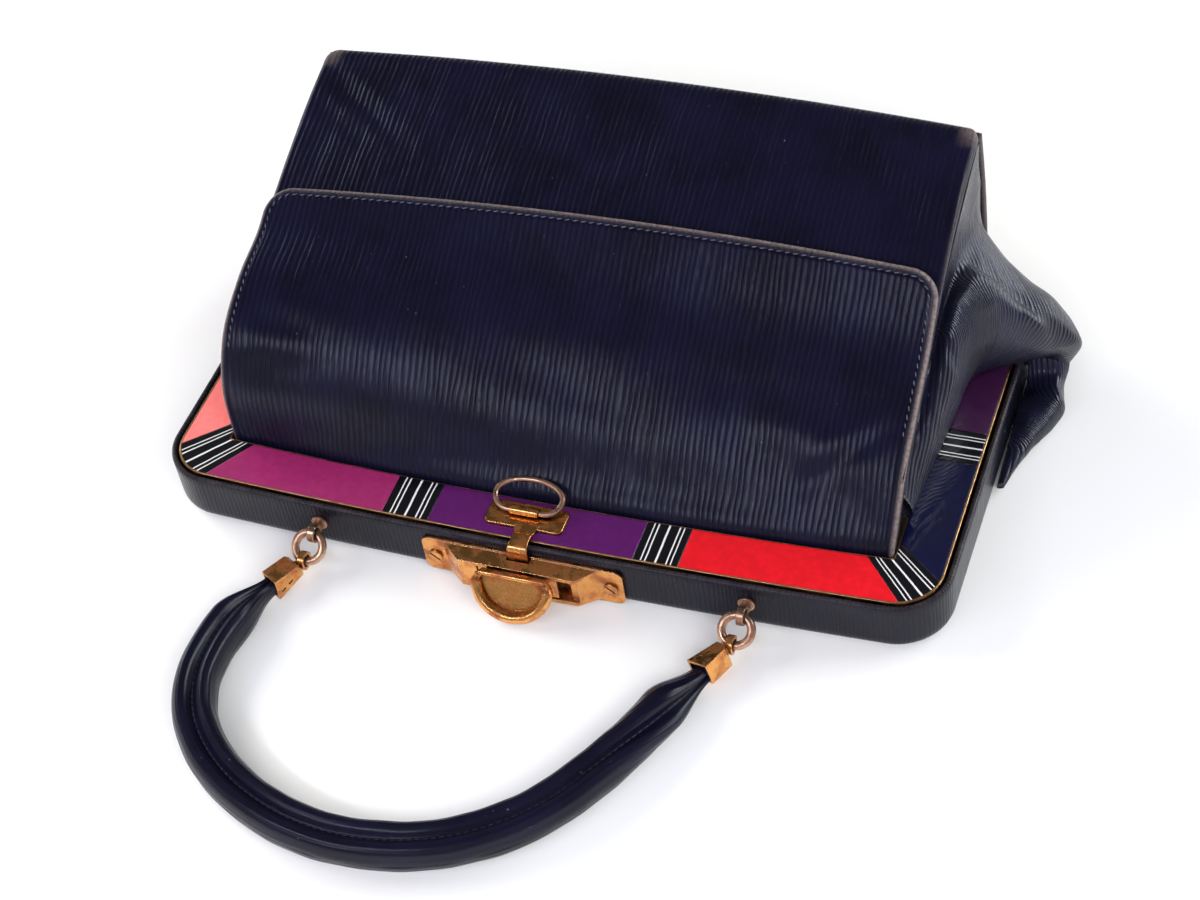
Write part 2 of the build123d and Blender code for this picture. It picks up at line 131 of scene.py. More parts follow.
# Solid between an outer and an inner grid of points, closed around their border; both sides share
# grain and wear
def shellObject(name, outer, inner, grain=0.0, wear=0.0):
    rows, columns = outer.shape[:2]
    grain = grain + np.zeros((rows, columns, 3))
    wear = wear + np.zeros((rows, columns))
    count = rows * columns
    index = np.arange(count).reshape(rows, columns)
    rim = np.concatenate([index[0], index[1:, -1], index[-1, -2::-1], index[-2:0:-1, 0]])
    following = np.roll(rim, -1)
    strips = np.stack([following, rim, rim + count, following + count], -1).tolist()
    faces = gridFaces(rows, columns) + gridFaces(rows, columns, count, flip=True) + strips
    points = np.concatenate([outer.reshape(-1, 3), inner.reshape(-1, 3)])
    both = lambda values: np.concatenate([values.reshape(count, -1)] * 2).squeeze()
    return meshObject(name, points, faces, grain=both(grain), wear=both(wear))


# Solid swept through loops of points, one loop a station, with flat ends
def loopObject(name, loops, grain=0.0, wear=0.0):
    stations, count = loops.shape[:2]
    total = stations * count
    faces = gridFaces(stations, count, wrap=True)
    faces += [list(range(count)), list(range(total - 1, total - count - 1, -1))]
    grain = grain + np.zeros((stations, count, 3))
    wear = wear + np.zeros((stations, count))
    return meshObject(name, loops, faces, grain=grain.reshape(-1, 3), wear=wear.ravel())


# One object from several meshes
def joined(target, *others):
    with bpy.context.temp_override(active_object=target, selected_editable_objects=[target, *others]):
        bpy.ops.object.join()
    return target


# Unit normals of a grid from the cross product of its two directions
def gridNormals(points):
    normal = np.cross(np.gradient(points, axis=1), np.gradient(points, axis=0))
    return normal / np.maximum(np.linalg.norm(normal, axis=-1, keepdims=True), 1e-12)


# Smooth pseudo-random field: a sum of sine waves whose directions and phases come from the seed
def waveField(a, b, length, seed, waves=7):
    random = np.random.default_rng(seed)
    total = np.zeros(np.broadcast(a, b).shape)
    for _ in range(waves):
        angle, phase, scale = random.uniform(0, 6.283, 2).tolist() + [random.uniform(0.6, 1.7)]
        total += np.sin((a * np.cos(angle) + b * np.sin(angle)) * 6.283 * scale / length + phase)
    return total / waves


# Fold lines pressed into the leather: each lowers the surface by its depth over a bell of its width
# around a segment, and lifts it by a third of the depth beside the segment
def creaseDepth(a, b, creases):
    total = np.zeros(np.broadcast(a, b).shape)
    for a0, b0, a1, b1, width, depth in creases:
        da, db = a1 - a0, b1 - b0
        t = np.clip(((a - a0) * da + (b - b0) * db) / (da * da + db * db), 0, 1)
        side = ((b - b0) * da - (a - a0) * db) / np.hypot(da, db)
        gap = np.hypot(a - a0 - t * da, b - b0 - t * db)
        fade = np.sin(np.pi * np.clip(0.08 + 0.84 * t, 0, 1))
        bell = np.exp(-((gap / width) ** 2))
        raised = np.exp(-(((gap - 1.9 * width) / width) ** 2)) * (side > 0)
        total += depth * fade * (bell - 0.35 * raised)
    return total


# Profile moved sideways by a distance, to the right of its direction
def shifted(profile, distance):
    profile = np.asarray(profile, float)
    chord = np.empty_like(profile)
    chord[1:-1] = profile[2:] - profile[:-2]
    chord[0], chord[-1] = profile[1] - profile[0], profile[-1] - profile[-2]
    chord /= np.linalg.norm(chord, axis=1, keepdims=True)
    return profile + distance * np.stack([chord[:, 1], -chord[:, 0]], -1)


# Leather panels: the profiles are (run, up) at the left, middle and right, and the creases (across,
# run, across, run, width, depth); on the front panel, tails replace the last point of the overlay's
# profiles
overlayShape = {
    "grid": (110, 170),
    "groove": 0.4,
    "wornEdge": 0.85,
    "wornEnds": 0,
    "half": 121.3,
    "thickness": 2.0,
    "edgeRound": 1.7,
    "corner": 10.0,
    "profiles": [
        [(21.7, 13), (21.9, 24), (24, 43), (34, 59.5), (54, 70.5), (73, 75.5), (86.6, 83)],
        [(18.3, 13), (19.2, 21), (25, 27), (36, 41), (55, 57), (76, 70.5), (94, 84)],
        [(21.7, 13), (22.2, 21), (28, 29), (44, 45.5), (59, 54.8), (76, 66), (92, 82)],
    ],
    "creases": [
        (-124, 25, -84, 35, 3.2, 0.75),
        (-124, 44, -78, 40, 4.0, 0.5),
        (-122, 19, -80, 24, 2.4, 0.45),
        (62, 40, 112, 30, 5.0, 1.0),
        (84, 30, 118, 52, 3.0, 0.9),
        (-30, 48, 40, 40, 7.0, 0.7),
    ],
}
frontShape = {
    "grid": (120, 150),
    "groove": 0,
    "wornEdge": 0.12,
    "wornEnds": 1,
    "half": 121.3,
    "thickness": 2.0,
    "edgeRound": 1.9,
    "corner": 12.0,
    "profiles": [],
    "tails": [
        [(104, 84.45), (125, 91.45), (140, 95.2), (146.0, 96.5), (148.6, 95.6), (149.8, 93.2), (150.0, 90.5)],
        [(108, 84.95), (130, 91.95), (145.6, 95.4), (151.4, 96.5), (154.0, 95.6), (155.2, 93.2), (155.4, 90.5)],
        [(106, 83.45), (126, 91.45), (140, 95.2), (146.0, 96.5), (148.6, 95.6), (149.8, 93.2), (150.0, 90.5)],
    ],
    "creases": [
        (-124, 141, -78, 112, 3.4, 0.8),
        (-122, 126, -86, 108, 3.0, 0.45),
        (70, 138, 112, 110, 6.0, 0.9),
        (-60, 126, 20, 118, 9.0, 0.8),
    ],
}
for profile, tail in zip(overlayShape["profiles"], frontShape["tails"]):
    frontShape["profiles"].append([*shifted(profile, 2.3)[:-1].tolist(), *tail])
baseShape = {
    "grid": (70, 120),
    "groove": 0,
    "wornEdge": 0.3,
    "wornEnds": 0,
    "half": 121.3,
    "thickness": 2.3,
    "edgeRound": 2.0,
    "corner": 8.0,
    "profiles": [
        [(run, 93.8), (run + 4, 72), (run + 6.5, 47), (run + 6.5, 20), (run + 5.4, 8), (run + 2.6, 2.4)]
        for run in (146.4, 151.8, 146.4)
    ],
    "creases": [(-100, 60, 90, 66, 9.0, 0.9), (-90, 30, 60, 24, 8.0, 0.8), (20, 80, 110, 40, 5.0, 0.8)],
}
liningShape = {
    "grid": (60, 80),
    "groove": 0,
    "wornEdge": 0,
    "wornEnds": 0,
    "half": 119.3,
    "thickness": 0.8,
    "edgeRound": 0.3,
    "corner": 4.0,
    "profiles": [shifted(profile, 2.6)[:-4].tolist() for profile in frontShape["profiles"]],
    "creases": [],
}


# Points of a panel: the three profiles are blended across by a parabola through them, and the far
# corners of its rectangle are pushed onto arcs; the surface falls by a quarter circle towards its
# edges
def panelGrids(shape, rows, columns):
    half, corner, turn = shape["half"], shape["corner"], shape["edgeRound"]
    curves = [smoothCurve(profile, 401) for profile in shape["profiles"]]
    length = np.mean([runLength(curve)[-1] for curve in curves])
    t = np.linspace(-1, 1, columns)[None, :]
    toSide = half * (1 - abs(t)) ** 1.6 + 0 * np.zeros((rows, 1))
    toFar = length * np.linspace(1, 0, rows)[:, None] ** 1.6 + 0 * toSide
    edge = np.minimum(toSide, toFar)
    side, far = roundedCorner(toSide, toFar, corner)
    x = np.sign(t) * (half - side)
    s = np.clip(1 - far / length, 0, 1)
    u = x / half
    weights = (u * (u - 1) / 2, 1 - u * u, u * (u + 1) / 2)
    even = np.linspace(0, 1, 401)
    run = sum(w * np.interp(s, even, c[:, 0]) for w, c in zip(weights, curves))
    up = sum(w * np.interp(s, even, c[:, 1]) for w, c in zip(weights, curves))
    surface = np.stack([x, run, up], -1)
    normal = gridNormals(surface)
    normal *= np.sign(normal[rows // 2, columns // 2, 2]) or 1
    gap = np.clip(turn - edge, 0, turn)
    drop = turn - np.sqrt(turn * turn - gap * gap)
    calm = np.clip(edge / 12, 0, 1)
    drop = drop + calm * creaseDepth(x, run if shape is not baseShape else up, shape["creases"])
    drop = drop - 0.35 * calm * waveField(x, s * length, 70, 3)
    grain = np.stack([x, s * length, 0 * x], -1) / 1000
    return surface, normal, drop, edge, grain


# Panel of leather: a bell-shaped groove 2.7 mm from the edge with a lower ridge beside it, the
# surface moved down its normals by the drop, and the inner side one thickness below
def panelObject(name, shape):
    groove, wornEdge = shape["groove"], shape["wornEdge"]
    surface, normal, drop, edge, grain = panelGrids(shape, *shape["grid"])
    bell = lambda place, width: np.exp(-(((edge - place) / width) ** 2))
    drop = drop + groove * bell(2.7, 0.55) - 0.5 * groove * bell(1.3, 0.7)
    outer = surface - normal * drop[..., None]
    inner = surface - normal * shape["thickness"]
    ends = np.clip(abs(outer[..., 0]) / 8 - 14.2, 0, 1) * np.clip((outer[..., 1] - 139) / 8, 0, 1)
    wear = np.maximum(wornEdge * bell(0.3, 0.8), ends * shape["wornEnds"])
    return shellObject(name, placedPoints(outer), placedPoints(inner), grain, wear)


frontPanel = panelObject("frontPanel", frontShape)
frontOverlay = panelObject("frontOverlay", overlayShape)
basePanel = panelObject("basePanel", baseShape)
liningFront = panelObject("liningFront", liningShape)
print("panels made")


# Row of stitches: each is a rounded bead stretched along its direction and sunk by half into the
# leather
def stitchRow(name, centres, directions, normals, size):
    rings, sides = 6, 8
    v = np.linspace(0, np.pi, rings)[:, None]
    w = np.linspace(0, 2 * np.pi, sides, endpoint=False)[None, :]
    length, width, height = size
    x, y, z = np.cos(v) + 0 * w, np.sin(v) * np.cos(w), np.sin(v) * np.sin(w)
    bead = np.stack([length * x, width * y, height * z], -1).reshape(-1, 3)
    beadFaces = np.array(gridFaces(rings, sides, wrap=True))
    points, faces = [], []
    for n, (centre, along, normal) in enumerate(zip(centres, directions, normals)):
        axis = along / np.linalg.norm(along)
        across = np.cross(normal, axis)
        points.append(centre + bead @ np.stack([axis, across, normal]))
        faces += (beadFaces + n * len(bead)).tolist()
    points = np.concatenate(points)
    return meshObject(name, placed(*points.T), faces, wear=np.zeros(len(points)))


# Evenly spaced places along a line of points, with the direction and the other values there
def spacedAlong(line, others, pitch):
    step = runLength(line)
    places = np.arange(pitch, step[-1] - pitch, pitch)
    pick = lambda values: np.stack([np.interp(places, step, column) for column in values.T], -1)
    return pick(line), pick(np.gradient(line, axis=0)), pick(others)


stitchShape = {
    "fromEdge": 2.7,
    "sunk": 0.12,
    "pitch": 2.9,
    "slant": 0.28,
    "size": (0.95, 0.24, 0.22),
    "firstRow": 30,
}


# Stitches along the turned edge of the overlay, on the grid lines nearest to the groove, each
# slanted a little
def overlayStitches():
    shape = stitchShape
    rows, columns = overlayShape["grid"]
    first, middle = shape["firstRow"], columns // 2
    surface, normal, drop, edge, _ = panelGrids(overlayShape, rows, columns)
    sideColumn = int(np.argmin(abs(edge[0, :middle] - shape["fromEdge"])))
    farRow = int(np.argmin(abs(edge[:, middle] - shape["fromEdge"])))
    track = [(i, sideColumn) for i in range(first, farRow)]
    track += [(farRow, j) for j in range(sideColumn, columns - sideColumn)]
    track += [(i, columns - 1 - sideColumn) for i in range(farRow - 1, first, -1)]
    i, j = np.array(track).T
    line = surface[i, j] - normal[i, j] * (drop[i, j][:, None] + shape["sunk"])
    centre, along, up = spacedAlong(line, normal[i, j], shape["pitch"])
    up /= np.linalg.norm(up, axis=1, keepdims=True)
    turn = along + shape["slant"] * np.cross(up, along)
    return stitchRow("overlayStitches", centre, turn, up, shape["size"])


stitches = overlayStitches()

# Gusset on the right, a fold and a lobe under it; each station is the run from the bar line, then
# the pairs of across and up of the outer line
gussetFold = {
    "inside": 119.4,
    "points": 70,
    "swell": 0.7,
    "stations": [
        (38, 121.2, 40, 120, 35, 120.2, 32, 121.8, 29.6, 123, 27.6, 123.6, 25.6, 123.6, 23.6, 122.6, 21.3),
        (50, 121.2, 48, 119.8, 42, 120.2, 38, 122.4, 35, 124.2, 32, 125, 28.6, 124.8, 25, 122.8, 21.3),
        (64, 121.2, 56, 119.7, 50, 120.1, 43.8, 123, 43.6, 126.2, 40, 127.2, 33, 126.4, 27, 123.8, 21.3),
        (80, 121.2, 65, 119.7, 58, 120, 50.4, 123.2, 51.4, 127.4, 48, 128.8, 39, 128.2, 29, 125.6, 21.3),
        (94, 121.2, 73, 119.7, 65, 120, 56.4, 123.6, 58.4, 128.4, 54.4, 130.2, 43.6, 129.4, 31, 126.6, 21.3),
        (101, 121.2, 76.5, 119.8, 68, 120.2, 59.4, 124.2, 61.6, 130, 57, 133.2, 45.4, 132, 32, 127.2, 21.3),
        (106, 121.2, 78.5, 119.9, 69.6, 120.4, 61.4, 125.4, 63.2, 133.4, 57.6, 138.2, 45.4, 137.6, 32, 129.4, 21.3),
        (110, 121.2, 80, 120, 70.8, 120.7, 63.4, 126.6, 63.6, 136.8, 56, 144.2, 44.2, 144.6, 31.4, 134, 21.3),
        (114, 121.2, 82, 120, 71.4, 120.9, 65.2, 127.4, 63, 139.2, 53.6, 149.2, 42.4, 151, 30.4, 139.6, 21.3),
        (118, 121.2, 83.6, 120.1, 71.4, 121, 66.8, 127.8, 60.4, 140, 49.6, 151.8, 39.4, 155.6, 29.4, 146.6, 21.3),
        (122, 121.2, 85, 120.2, 71.6, 121.2, 66.8, 128.2, 59.6, 141.4, 48.6, 154.6, 37.8, 160, 28.4, 153.6, 21.3),
        (126, 121.2, 86.4, 120.4, 71.6, 121.4, 66.6, 128.4, 58.8, 141.6, 48, 155, 36.8, 161.4, 25.6, 156, 14),
        (131, 121.2, 88.4, 120.6, 72, 121.6, 66.4, 128.2, 57.4, 140.6, 46.8, 153, 35.6, 160, 21, 154, 4.6),
        (138, 121.2, 91, 120.8, 72, 121.6, 65.6, 126.6, 55.4, 135.4, 44.8, 145.4, 34.2, 152, 19, 147, 3.6),
        (144, 121.2, 92.6, 121, 70, 121.6, 62, 124, 53, 129, 42.6, 136.4, 30.6, 141.4, 17, 138, 3.4),
        (147.6, 120.9, 90.4, 120.9, 66, 121.2, 58, 122.2, 49, 124, 38.4, 127, 26.6, 129, 15, 127.4, 3.4),
    ],
}
gussetLobe = {
    "inside": 143.3,
    "points": 40,
    "swell": 0.5,
    "stations": [
        (75, 143.4, 2.4, 144.6, 3.2, 145.8, 2.6, 145.6, 1.4, 144.4, 0.6),
        (84, 143.4, 4.4, 145.4, 5, 147.8, 4, 147.6, 1.8, 145.4, 0.6),
        (94, 143.4, 6.4, 146.4, 7.4, 151.4, 6.2, 151.4, 2.4, 147.6, 0.6),
        (104, 143.4, 8, 148.4, 9.6, 156, 8.6, 156.2, 3.2, 150.4, 0.6),
        (112, 143.4, 7.4, 149.8, 10.4, 157.4, 10.8, 158.6, 4.4, 151.4, 0.6),
        (118, 143.4, 6, 148.8, 9, 155.4, 10.2, 157.6, 4.6, 151.4, 0.6),
        (124, 143.4, 12, 149, 12, 154.6, 11.4, 156.4, 5.4, 151, 0.6),
        (128, 143.4, 22, 150, 22, 155.6, 17, 156.4, 6.4, 151, 0.6),
    ],
}
gussetShape = {"rows": 120, "grainTurn": 0.45, "narrow": {"Right": 1.0, "Left": 0.75}, "lowest": 0.4}


# Fold of the gusset: cubics through the pairs of each station, and through the stations along the
# run, give the outer line; each loop goes back along the bottom and up the inside. The surface
# swells by waves, the grain turns with the run, and the far side of the bag has the same fold
# mirrored and narrower
def foldObject(name, shape, side, narrow):
    rows, count, inside = gussetShape["rows"], shape["points"], shape["inside"]
    table = np.array(shape["stations"])
    outer = np.stack([smoothCurve(knots, count) for knots in table[:, 1:].reshape(len(table), -1, 2)])
    run = np.linspace(table[0, 0], table[-1, 0], rows)
    outer = hermite(table[:, 0], outer, run)
    run = run[:, None]
    x, z = outer[..., 0], outer[..., 1]
    lastX, lastZ = x[:, -1:], z[:, -1:]
    backX = lastX + (inside - lastX) * np.linspace(0.12, 1, 8)
    upZ = lastZ + (z[:, :1] - 1 - lastZ) * np.linspace(0.1, 1, 10)
    loopX = np.concatenate([x, backX, np.full((rows, 10), inside)], 1)
    loopZ = np.concatenate([z, np.repeat(lastZ, 8, 1), upZ], 1)
    stepX = np.diff(loopX, axis=1, prepend=x[:, :1])
    stepZ = np.diff(loopZ, axis=1, prepend=z[:, :1])
    around = np.cumsum(np.hypot(stepX, stepZ), 1)
    points = np.stack([loopX, run + 0 * loopX, loopZ], -1)
    normal = gridNormals(points)
    outward = np.sign(normal[rows // 2, count // 2, 0]) or 1
    index = np.arange(loopX.shape[1])
    fade = np.sin(np.pi * np.clip(index / (count - 1), 0, 1)) ** 0.6 * (index < count)
    waves = waveField(run, around, 26, 5) + 0.5 * waveField(run, around, 11, 8)
    points = points + outward * normal * (shape["swell"] * fade * waves)[..., None]
    phase = around + gussetShape["grainTurn"] * run * eased((run - 88) / 24)
    grain = np.stack([phase, run + 0 * phase, 0 * phase + 0.3], -1) / 1000
    reach = points[..., 0] - inside
    points[..., 0] = side * (inside + reach * (1 - (1 - narrow) * np.clip(reach / 12, 0, 1)))
    points[..., 2] = np.maximum(points[..., 2], gussetShape["lowest"])
    if side < 0:
        points, grain = points[:, ::-1], grain[:, ::-1]
    return loopObject(name, placedPoints(points), grain)


gussets = {}
for side, word in ((1, "Right"), (-1, "Left")):
    narrow = gussetShape["narrow"][word]
    fold = foldObject("gusset" + word, gussetFold, side, narrow)
    gussets[word] = joined(fold, foldObject("lobe" + word, gussetLobe, side, narrow))
print("gussets made")

# Frame outline, and the profile of the leather wall as (inset, up)
rimShape = {
    "half": 142.5,
    "corner": 18.4,
    "crown": 3.2,
    "rear": 128.0,
    "steps": (60, 22, 70),
    "wornLip": 0.22,
    "profile": [
        *[(17, 0), (10, 0), (4, 0), (2.6, 0.25), (1.4, 0.95), (0.5, 2.1), (0.08, 3.4), (0, 5), (0, 9)],
        *[(0, 13), (0, 17), (0, 19.2), (0.18, 19.85), (0.6, 20.2), (1.1, 20.3), (1.6, 20.2), (2.05, 19.85)],
        *[(2.2, 19.3), (1.7, 19.1), (1.2, 19), (1.2, 12), (1.2, 5.5), (1.5, 3.4), (2.6, 2), (4.6, 1.25)],
        *[(10, 1.2), (17, 1.2)],
    ],
    "lip": [(3.12, 19.2), (3.1, 20.15), (3.25, 20.32), (3.5, 20.36), (3.72, 20.28), (3.78, 20.1), (3.7, 19.2)],
}


# Outline at an inset, from the rear of the left arm around the bar to the rear of the right arm:
# straight arms, quarter circles, and a bar bowed by a parabola
def rimOutline(inset):
    straight, arc, bar = rimShape["steps"]
    half, radius = rimShape["half"] - inset, rimShape["corner"] - inset
    centre = rimShape["half"] - rimShape["corner"]
    front = rimShape["corner"]
    down = np.linspace(rimShape["rear"], front, straight, endpoint=False)
    left = np.stack([np.full(straight, -half), down], -1)
    angle = np.linspace(np.pi, 1.5 * np.pi, arc, endpoint=False)
    cornerLeft = np.stack([-centre + radius * np.cos(angle), front + radius * np.sin(angle)], -1)
    x = np.linspace(-centre, 0, bar)
    middle = np.stack([x, np.full(bar, float(inset))], -1)
    points = np.concatenate([left, cornerLeft, middle])
    bow = rimShape["crown"] * np.clip(1 - (points[:, 0] / rimShape["half"]) ** 2, 0, 1)
    points[:, 1] -= bow * np.clip(1 - (points[:, 1] - inset) / front, 0, 1)
    return np.concatenate([points, points[-2::-1] * (-1, 1)])


# Leather wall: its profile swept around the outline, with low waves in the upright part and a worn
# lip
def rimCoverObject():
    insets, heights = np.array(rimShape["profile"], float).T
    loops = np.stack([rimOutline(inset) for inset in insets], 1)
    along = runLength(loops[:, 9])[:, None]
    around = runLength(rimShape["profile"])[None, :]
    wave = 0.12 * waveField(along, around, 24, 11) * ((heights > 3) & (heights < 18))
    points = placed(loops[..., 0], loops[..., 1] + wave, heights)
    grain = np.stack([along + 0 * around, around + 0 * along, 0 * along * around + 0.6], -1) / 1000
    lip = np.exp(-((np.arange(len(insets)) - 13.5) ** 2) / 3.0)
    wear = rimShape["wornLip"] * lip * (0.55 + 0.45 * waveField(along, 0 * around, 15, 21))
    return loopObject("rimCover", points[:, ::-1], grain[:, ::-1], np.clip(wear, 0, 1)[:, ::-1])


rimCover = rimCoverObject()


# Bright strip of metal between the wall and the enamel, swept along the outer edge of the front
# half
def enamelLipObject():
    insets, heights = np.array(rimShape["lip"]).T
    loops = np.stack([rimOutline(inset) for inset in insets], 1)[2:-2]
    points = placed(loops[..., 0], loops[..., 1], heights)
    return loopObject("enamelLip", points[:, ::-1])


enamelLip = enamelLipObject()


backShape = {"inset": 17.2, "rear": 150.0, "bottom": 0.15, "top": 2.0, "corner": 2.0, "ripple": 0.0}
backLiningShape = {"inset": 21.5, "rear": 143.0, "bottom": 2.3, "top": 2.9, "corner": 4.0, "ripple": 0.12}


# Flat panel: a rectangle with two rounded corners whose front follows the bow of the bar; the edges
# thin out by a bell
def slabObject(name, shape):
    inset, bottom, top, length = shape["inset"], shape["bottom"], shape["top"], shape["rear"] - shape["inset"]
    half = rimShape["half"] - inset
    t = np.linspace(-1, 1, 110)[None, :]
    toSide = half * (1 - abs(t)) ** 1.4 + np.zeros((70, 1))
    toFront = length * np.linspace(0, 1, 70)[:, None] ** 1.4 + 0 * toSide
    side, front = roundedCorner(toSide, toFront, shape["corner"])
    x = np.sign(t) * (half - side)
    run = inset + front - rimShape["crown"] * (1 - (x / rimShape["half"]) ** 2) * (1 - toFront / length)
    edge = np.minimum(np.minimum(toSide, toFront), length - toFront)
    soft = np.exp(-((edge / 1.2) ** 2))
    lift = shape["ripple"] * waveField(x, run, 60, 17) * (1 - soft)
    upper = placed(x, run, top - 0.35 * (top - bottom) * soft + lift)
    lower = placed(x, run, bottom + 0.35 * (top - bottom) * soft)
    grain = np.stack([x, run, 0 * x + 0.9], -1) / 1000
    return shellObject(name, lower, upper, grain, 0.2 * soft)


backPanel = slabObject("backPanel", backShape)
liningBack = slabObject("liningBack", backLiningShape)
print("rim and back made")

# Handle of two rolls side by side: centre line as (across, run), and (half width, half depth,
# height) of the section in the middle and at the ends, which turns by some degrees towards the
# right clip
handleShape = {
    "line": [
        *[(-83.7, -22.6), (-87.2, -29), (-92.2, -44), (-94.4, -58), (-93.4, -72.5), (-87.6, -86.8)],
        *[(-78, -98.2), (-66, -107.2), (-53, -113.6), (-38.5, -118), (-25, -119.6), (-12.5, -119)],
        *[(0, -116.6), (11.7, -112.4), (22.3, -106.4), (31.9, -98.8), (40.2, -89.6), (47.4, -78.6)],
        *[(53.6, -67), (59.3, -54.4), (64.2, -41.6), (69.6, -29.6), (72.7, -22.6)],
    ],
    "middle": (7.5, 6.3, 6.75),
    "ends": (2.8, 3.2, 4.9),
    "gather": (6, 21),
    "web": 0.56,
    "turnRight": -70.0,
    "stations": 230,
    "around": 72,
    "lowest": 0.45,
    "stitch": (0.95, 0.28, 0.22),
    "pitch": 2.6,
}


# Outline of the two rolls: half an ellipse over each half of the width, and between them a web
# lower than the rolls, blended by the seventh root of the sum of seventh powers
def handleOutline(count, web):
    angle = np.linspace(0, 2 * np.pi, count, endpoint=False)
    a = np.cos(angle)
    roll = np.sqrt(np.clip(1 - (2 * abs(a) - 1) ** 2, 0, 1))
    height = (roll**7 + (web * (abs(a) < 0.5)) ** 7) ** (1 / 7)
    return a, np.sign(np.sin(angle)) * height


# Handle: the outline swept along the line and scaled by the eased distance from its nearer end,
# with slow waves in its size and a flat where it lies on the table; the stitches follow the web
def handleObject():
    shape = handleShape
    line = smoothCurve(shape["line"], shape["stations"])
    step = runLength(line)
    total = step[-1]
    tangent = np.gradient(line, axis=0)
    tangent /= np.linalg.norm(tangent, axis=1, keepdims=True)
    side = np.stack([tangent[:, 1], -tangent[:, 0], 0 * step], -1)
    start, reach = shape["gather"]
    full = eased((np.minimum(step, total - step) - start) / reach)
    middle, ends = np.array(shape["middle"])[:, None], np.array(shape["ends"])[:, None]
    width, depth, height = ends + (middle - ends) * full
    angle = np.radians(shape["turnRight"]) * eased((step - (total - 62)) / 54)
    a, b = handleOutline(shape["around"], shape["web"])
    up = np.array([0, 0, 1.0])
    axisA = side * np.cos(angle)[:, None] + up * np.sin(angle)[:, None]
    axisB = -side * np.sin(angle)[:, None] + up * np.cos(angle)[:, None]
    centre = np.concatenate([line, height[:, None]], 1)
    flat = 1 + 0.03 * waveField(step[:, None], 0.75 * np.arange(shape["around"]), 22, 31)
    sideways = axisA[:, None] * (width[:, None] * a * flat)[..., None]
    points = centre[:, None] + sideways + axisB[:, None] * (depth[:, None] * b * flat)[..., None]
    above = points[..., 2] - shape["lowest"]
    points[..., 2] = shape["lowest"] + np.maximum(above, 0.15 * np.minimum(above, 0))
    perimeter = np.linspace(0, 46, shape["around"]) + 0 * step[:, None]
    grain = np.stack([perimeter, step[:, None] + 0 * perimeter, 0 * perimeter + 1.2], -1) / 1000
    made = loopObject("handleGrip", placedPoints(points[:, ::-1]), grain[:, ::-1])
    seam = centre + axisB * (depth * shape["web"] + 0.05)[:, None]
    centres, along, normal = spacedAlong(seam[14:-14], axisB[14:-14], shape["pitch"])
    return made, stitchRow("handleStitches", centres, along, normal, shape["stitch"])


handleGrip, handleStitches = handleObject()
print("handle made")


# Tube around a line of points: sides points around each place, the radius may differ from place to
# place
def tubeLoops(line, radius, sides, up):
    tangent = np.gradient(line, axis=0)
    tangent /= np.linalg.norm(tangent, axis=1, keepdims=True)
    side = np.cross(tangent, up)
    side /= np.linalg.norm(side, axis=1, keepdims=True)
    top = np.cross(side, tangent)
    angle = np.linspace(0, 2 * np.pi, sides, endpoint=False)
    ring = side[:, None] * np.cos(angle)[None, :, None] + top[:, None] * np.sin(angle)[None, :, None]
    return line[:, None] + ring * np.broadcast_to(np.asarray(radius, float), (len(line), sides))[..., None]


ringShape = {
    "place": (-3.9, 10.0, 22.95),
    "length": 24.2,
    "height": 11.8,
    "bend": 5.6,
    "wire": 0.98,
    "lean": 20.0,
}


# Pull ring: a wire along a straight bar in the tube of the hasp, quarter circles and half an
# ellipse, in a plane that leans back, and closed on itself
def pullRingObject():
    shape, sides = ringShape, 16
    half, bend, height = shape["length"] / 2, shape["bend"], shape["height"]
    chord = half - bend
    turn = lambda first, last, count: np.pi * np.linspace(first, last, count, endpoint=False)
    arc = lambda x, wide, high, angle: np.stack([x + wide * np.cos(angle), bend + high * np.sin(angle)], -1)
    bar = np.stack([np.linspace(-chord, chord, 24, endpoint=False), np.zeros(24)], -1)
    right = arc(chord, bend, bend, turn(-0.5, 0, 16))
    arch = arc(0, half, height - bend, turn(0, 1, 60))
    left = arc(-chord, bend, bend, turn(1, 1.5, 16))
    lean = np.radians(shape["lean"])
    axes = np.array([[1, 0, 0], [0, np.cos(lean), np.sin(lean)]])
    line = np.array(shape["place"]) + np.concatenate([bar, right, arch, left]) @ axes
    closed = np.concatenate([line[-1:], line, line[:1]])
    loops = tubeLoops(closed, shape["wire"], sides, np.cross(*axes))[1:-1]
    count = loops.shape[0] * sides
    faces = np.array(gridFaces(loops.shape[0] + 1, sides, wrap=True)) % count
    return meshObject("pullRing", placedPoints(loops), faces.tolist(), wear=np.zeros(count))


pullRing = pullRingObject()

slideShape = {
    "place": (-1.25, -10.8, 15.2),
    "outward": (0, -0.877, 0.48),
    "upward": (0, 0.48, 0.877),
    "radius": (12.9, 11.997),
    "low": -3.4,
    "ends": 12.4,
    "bead": 1.95,
    "lip": 1.1,
    "notches": 72,
    "notchDepth": 0.16,
}


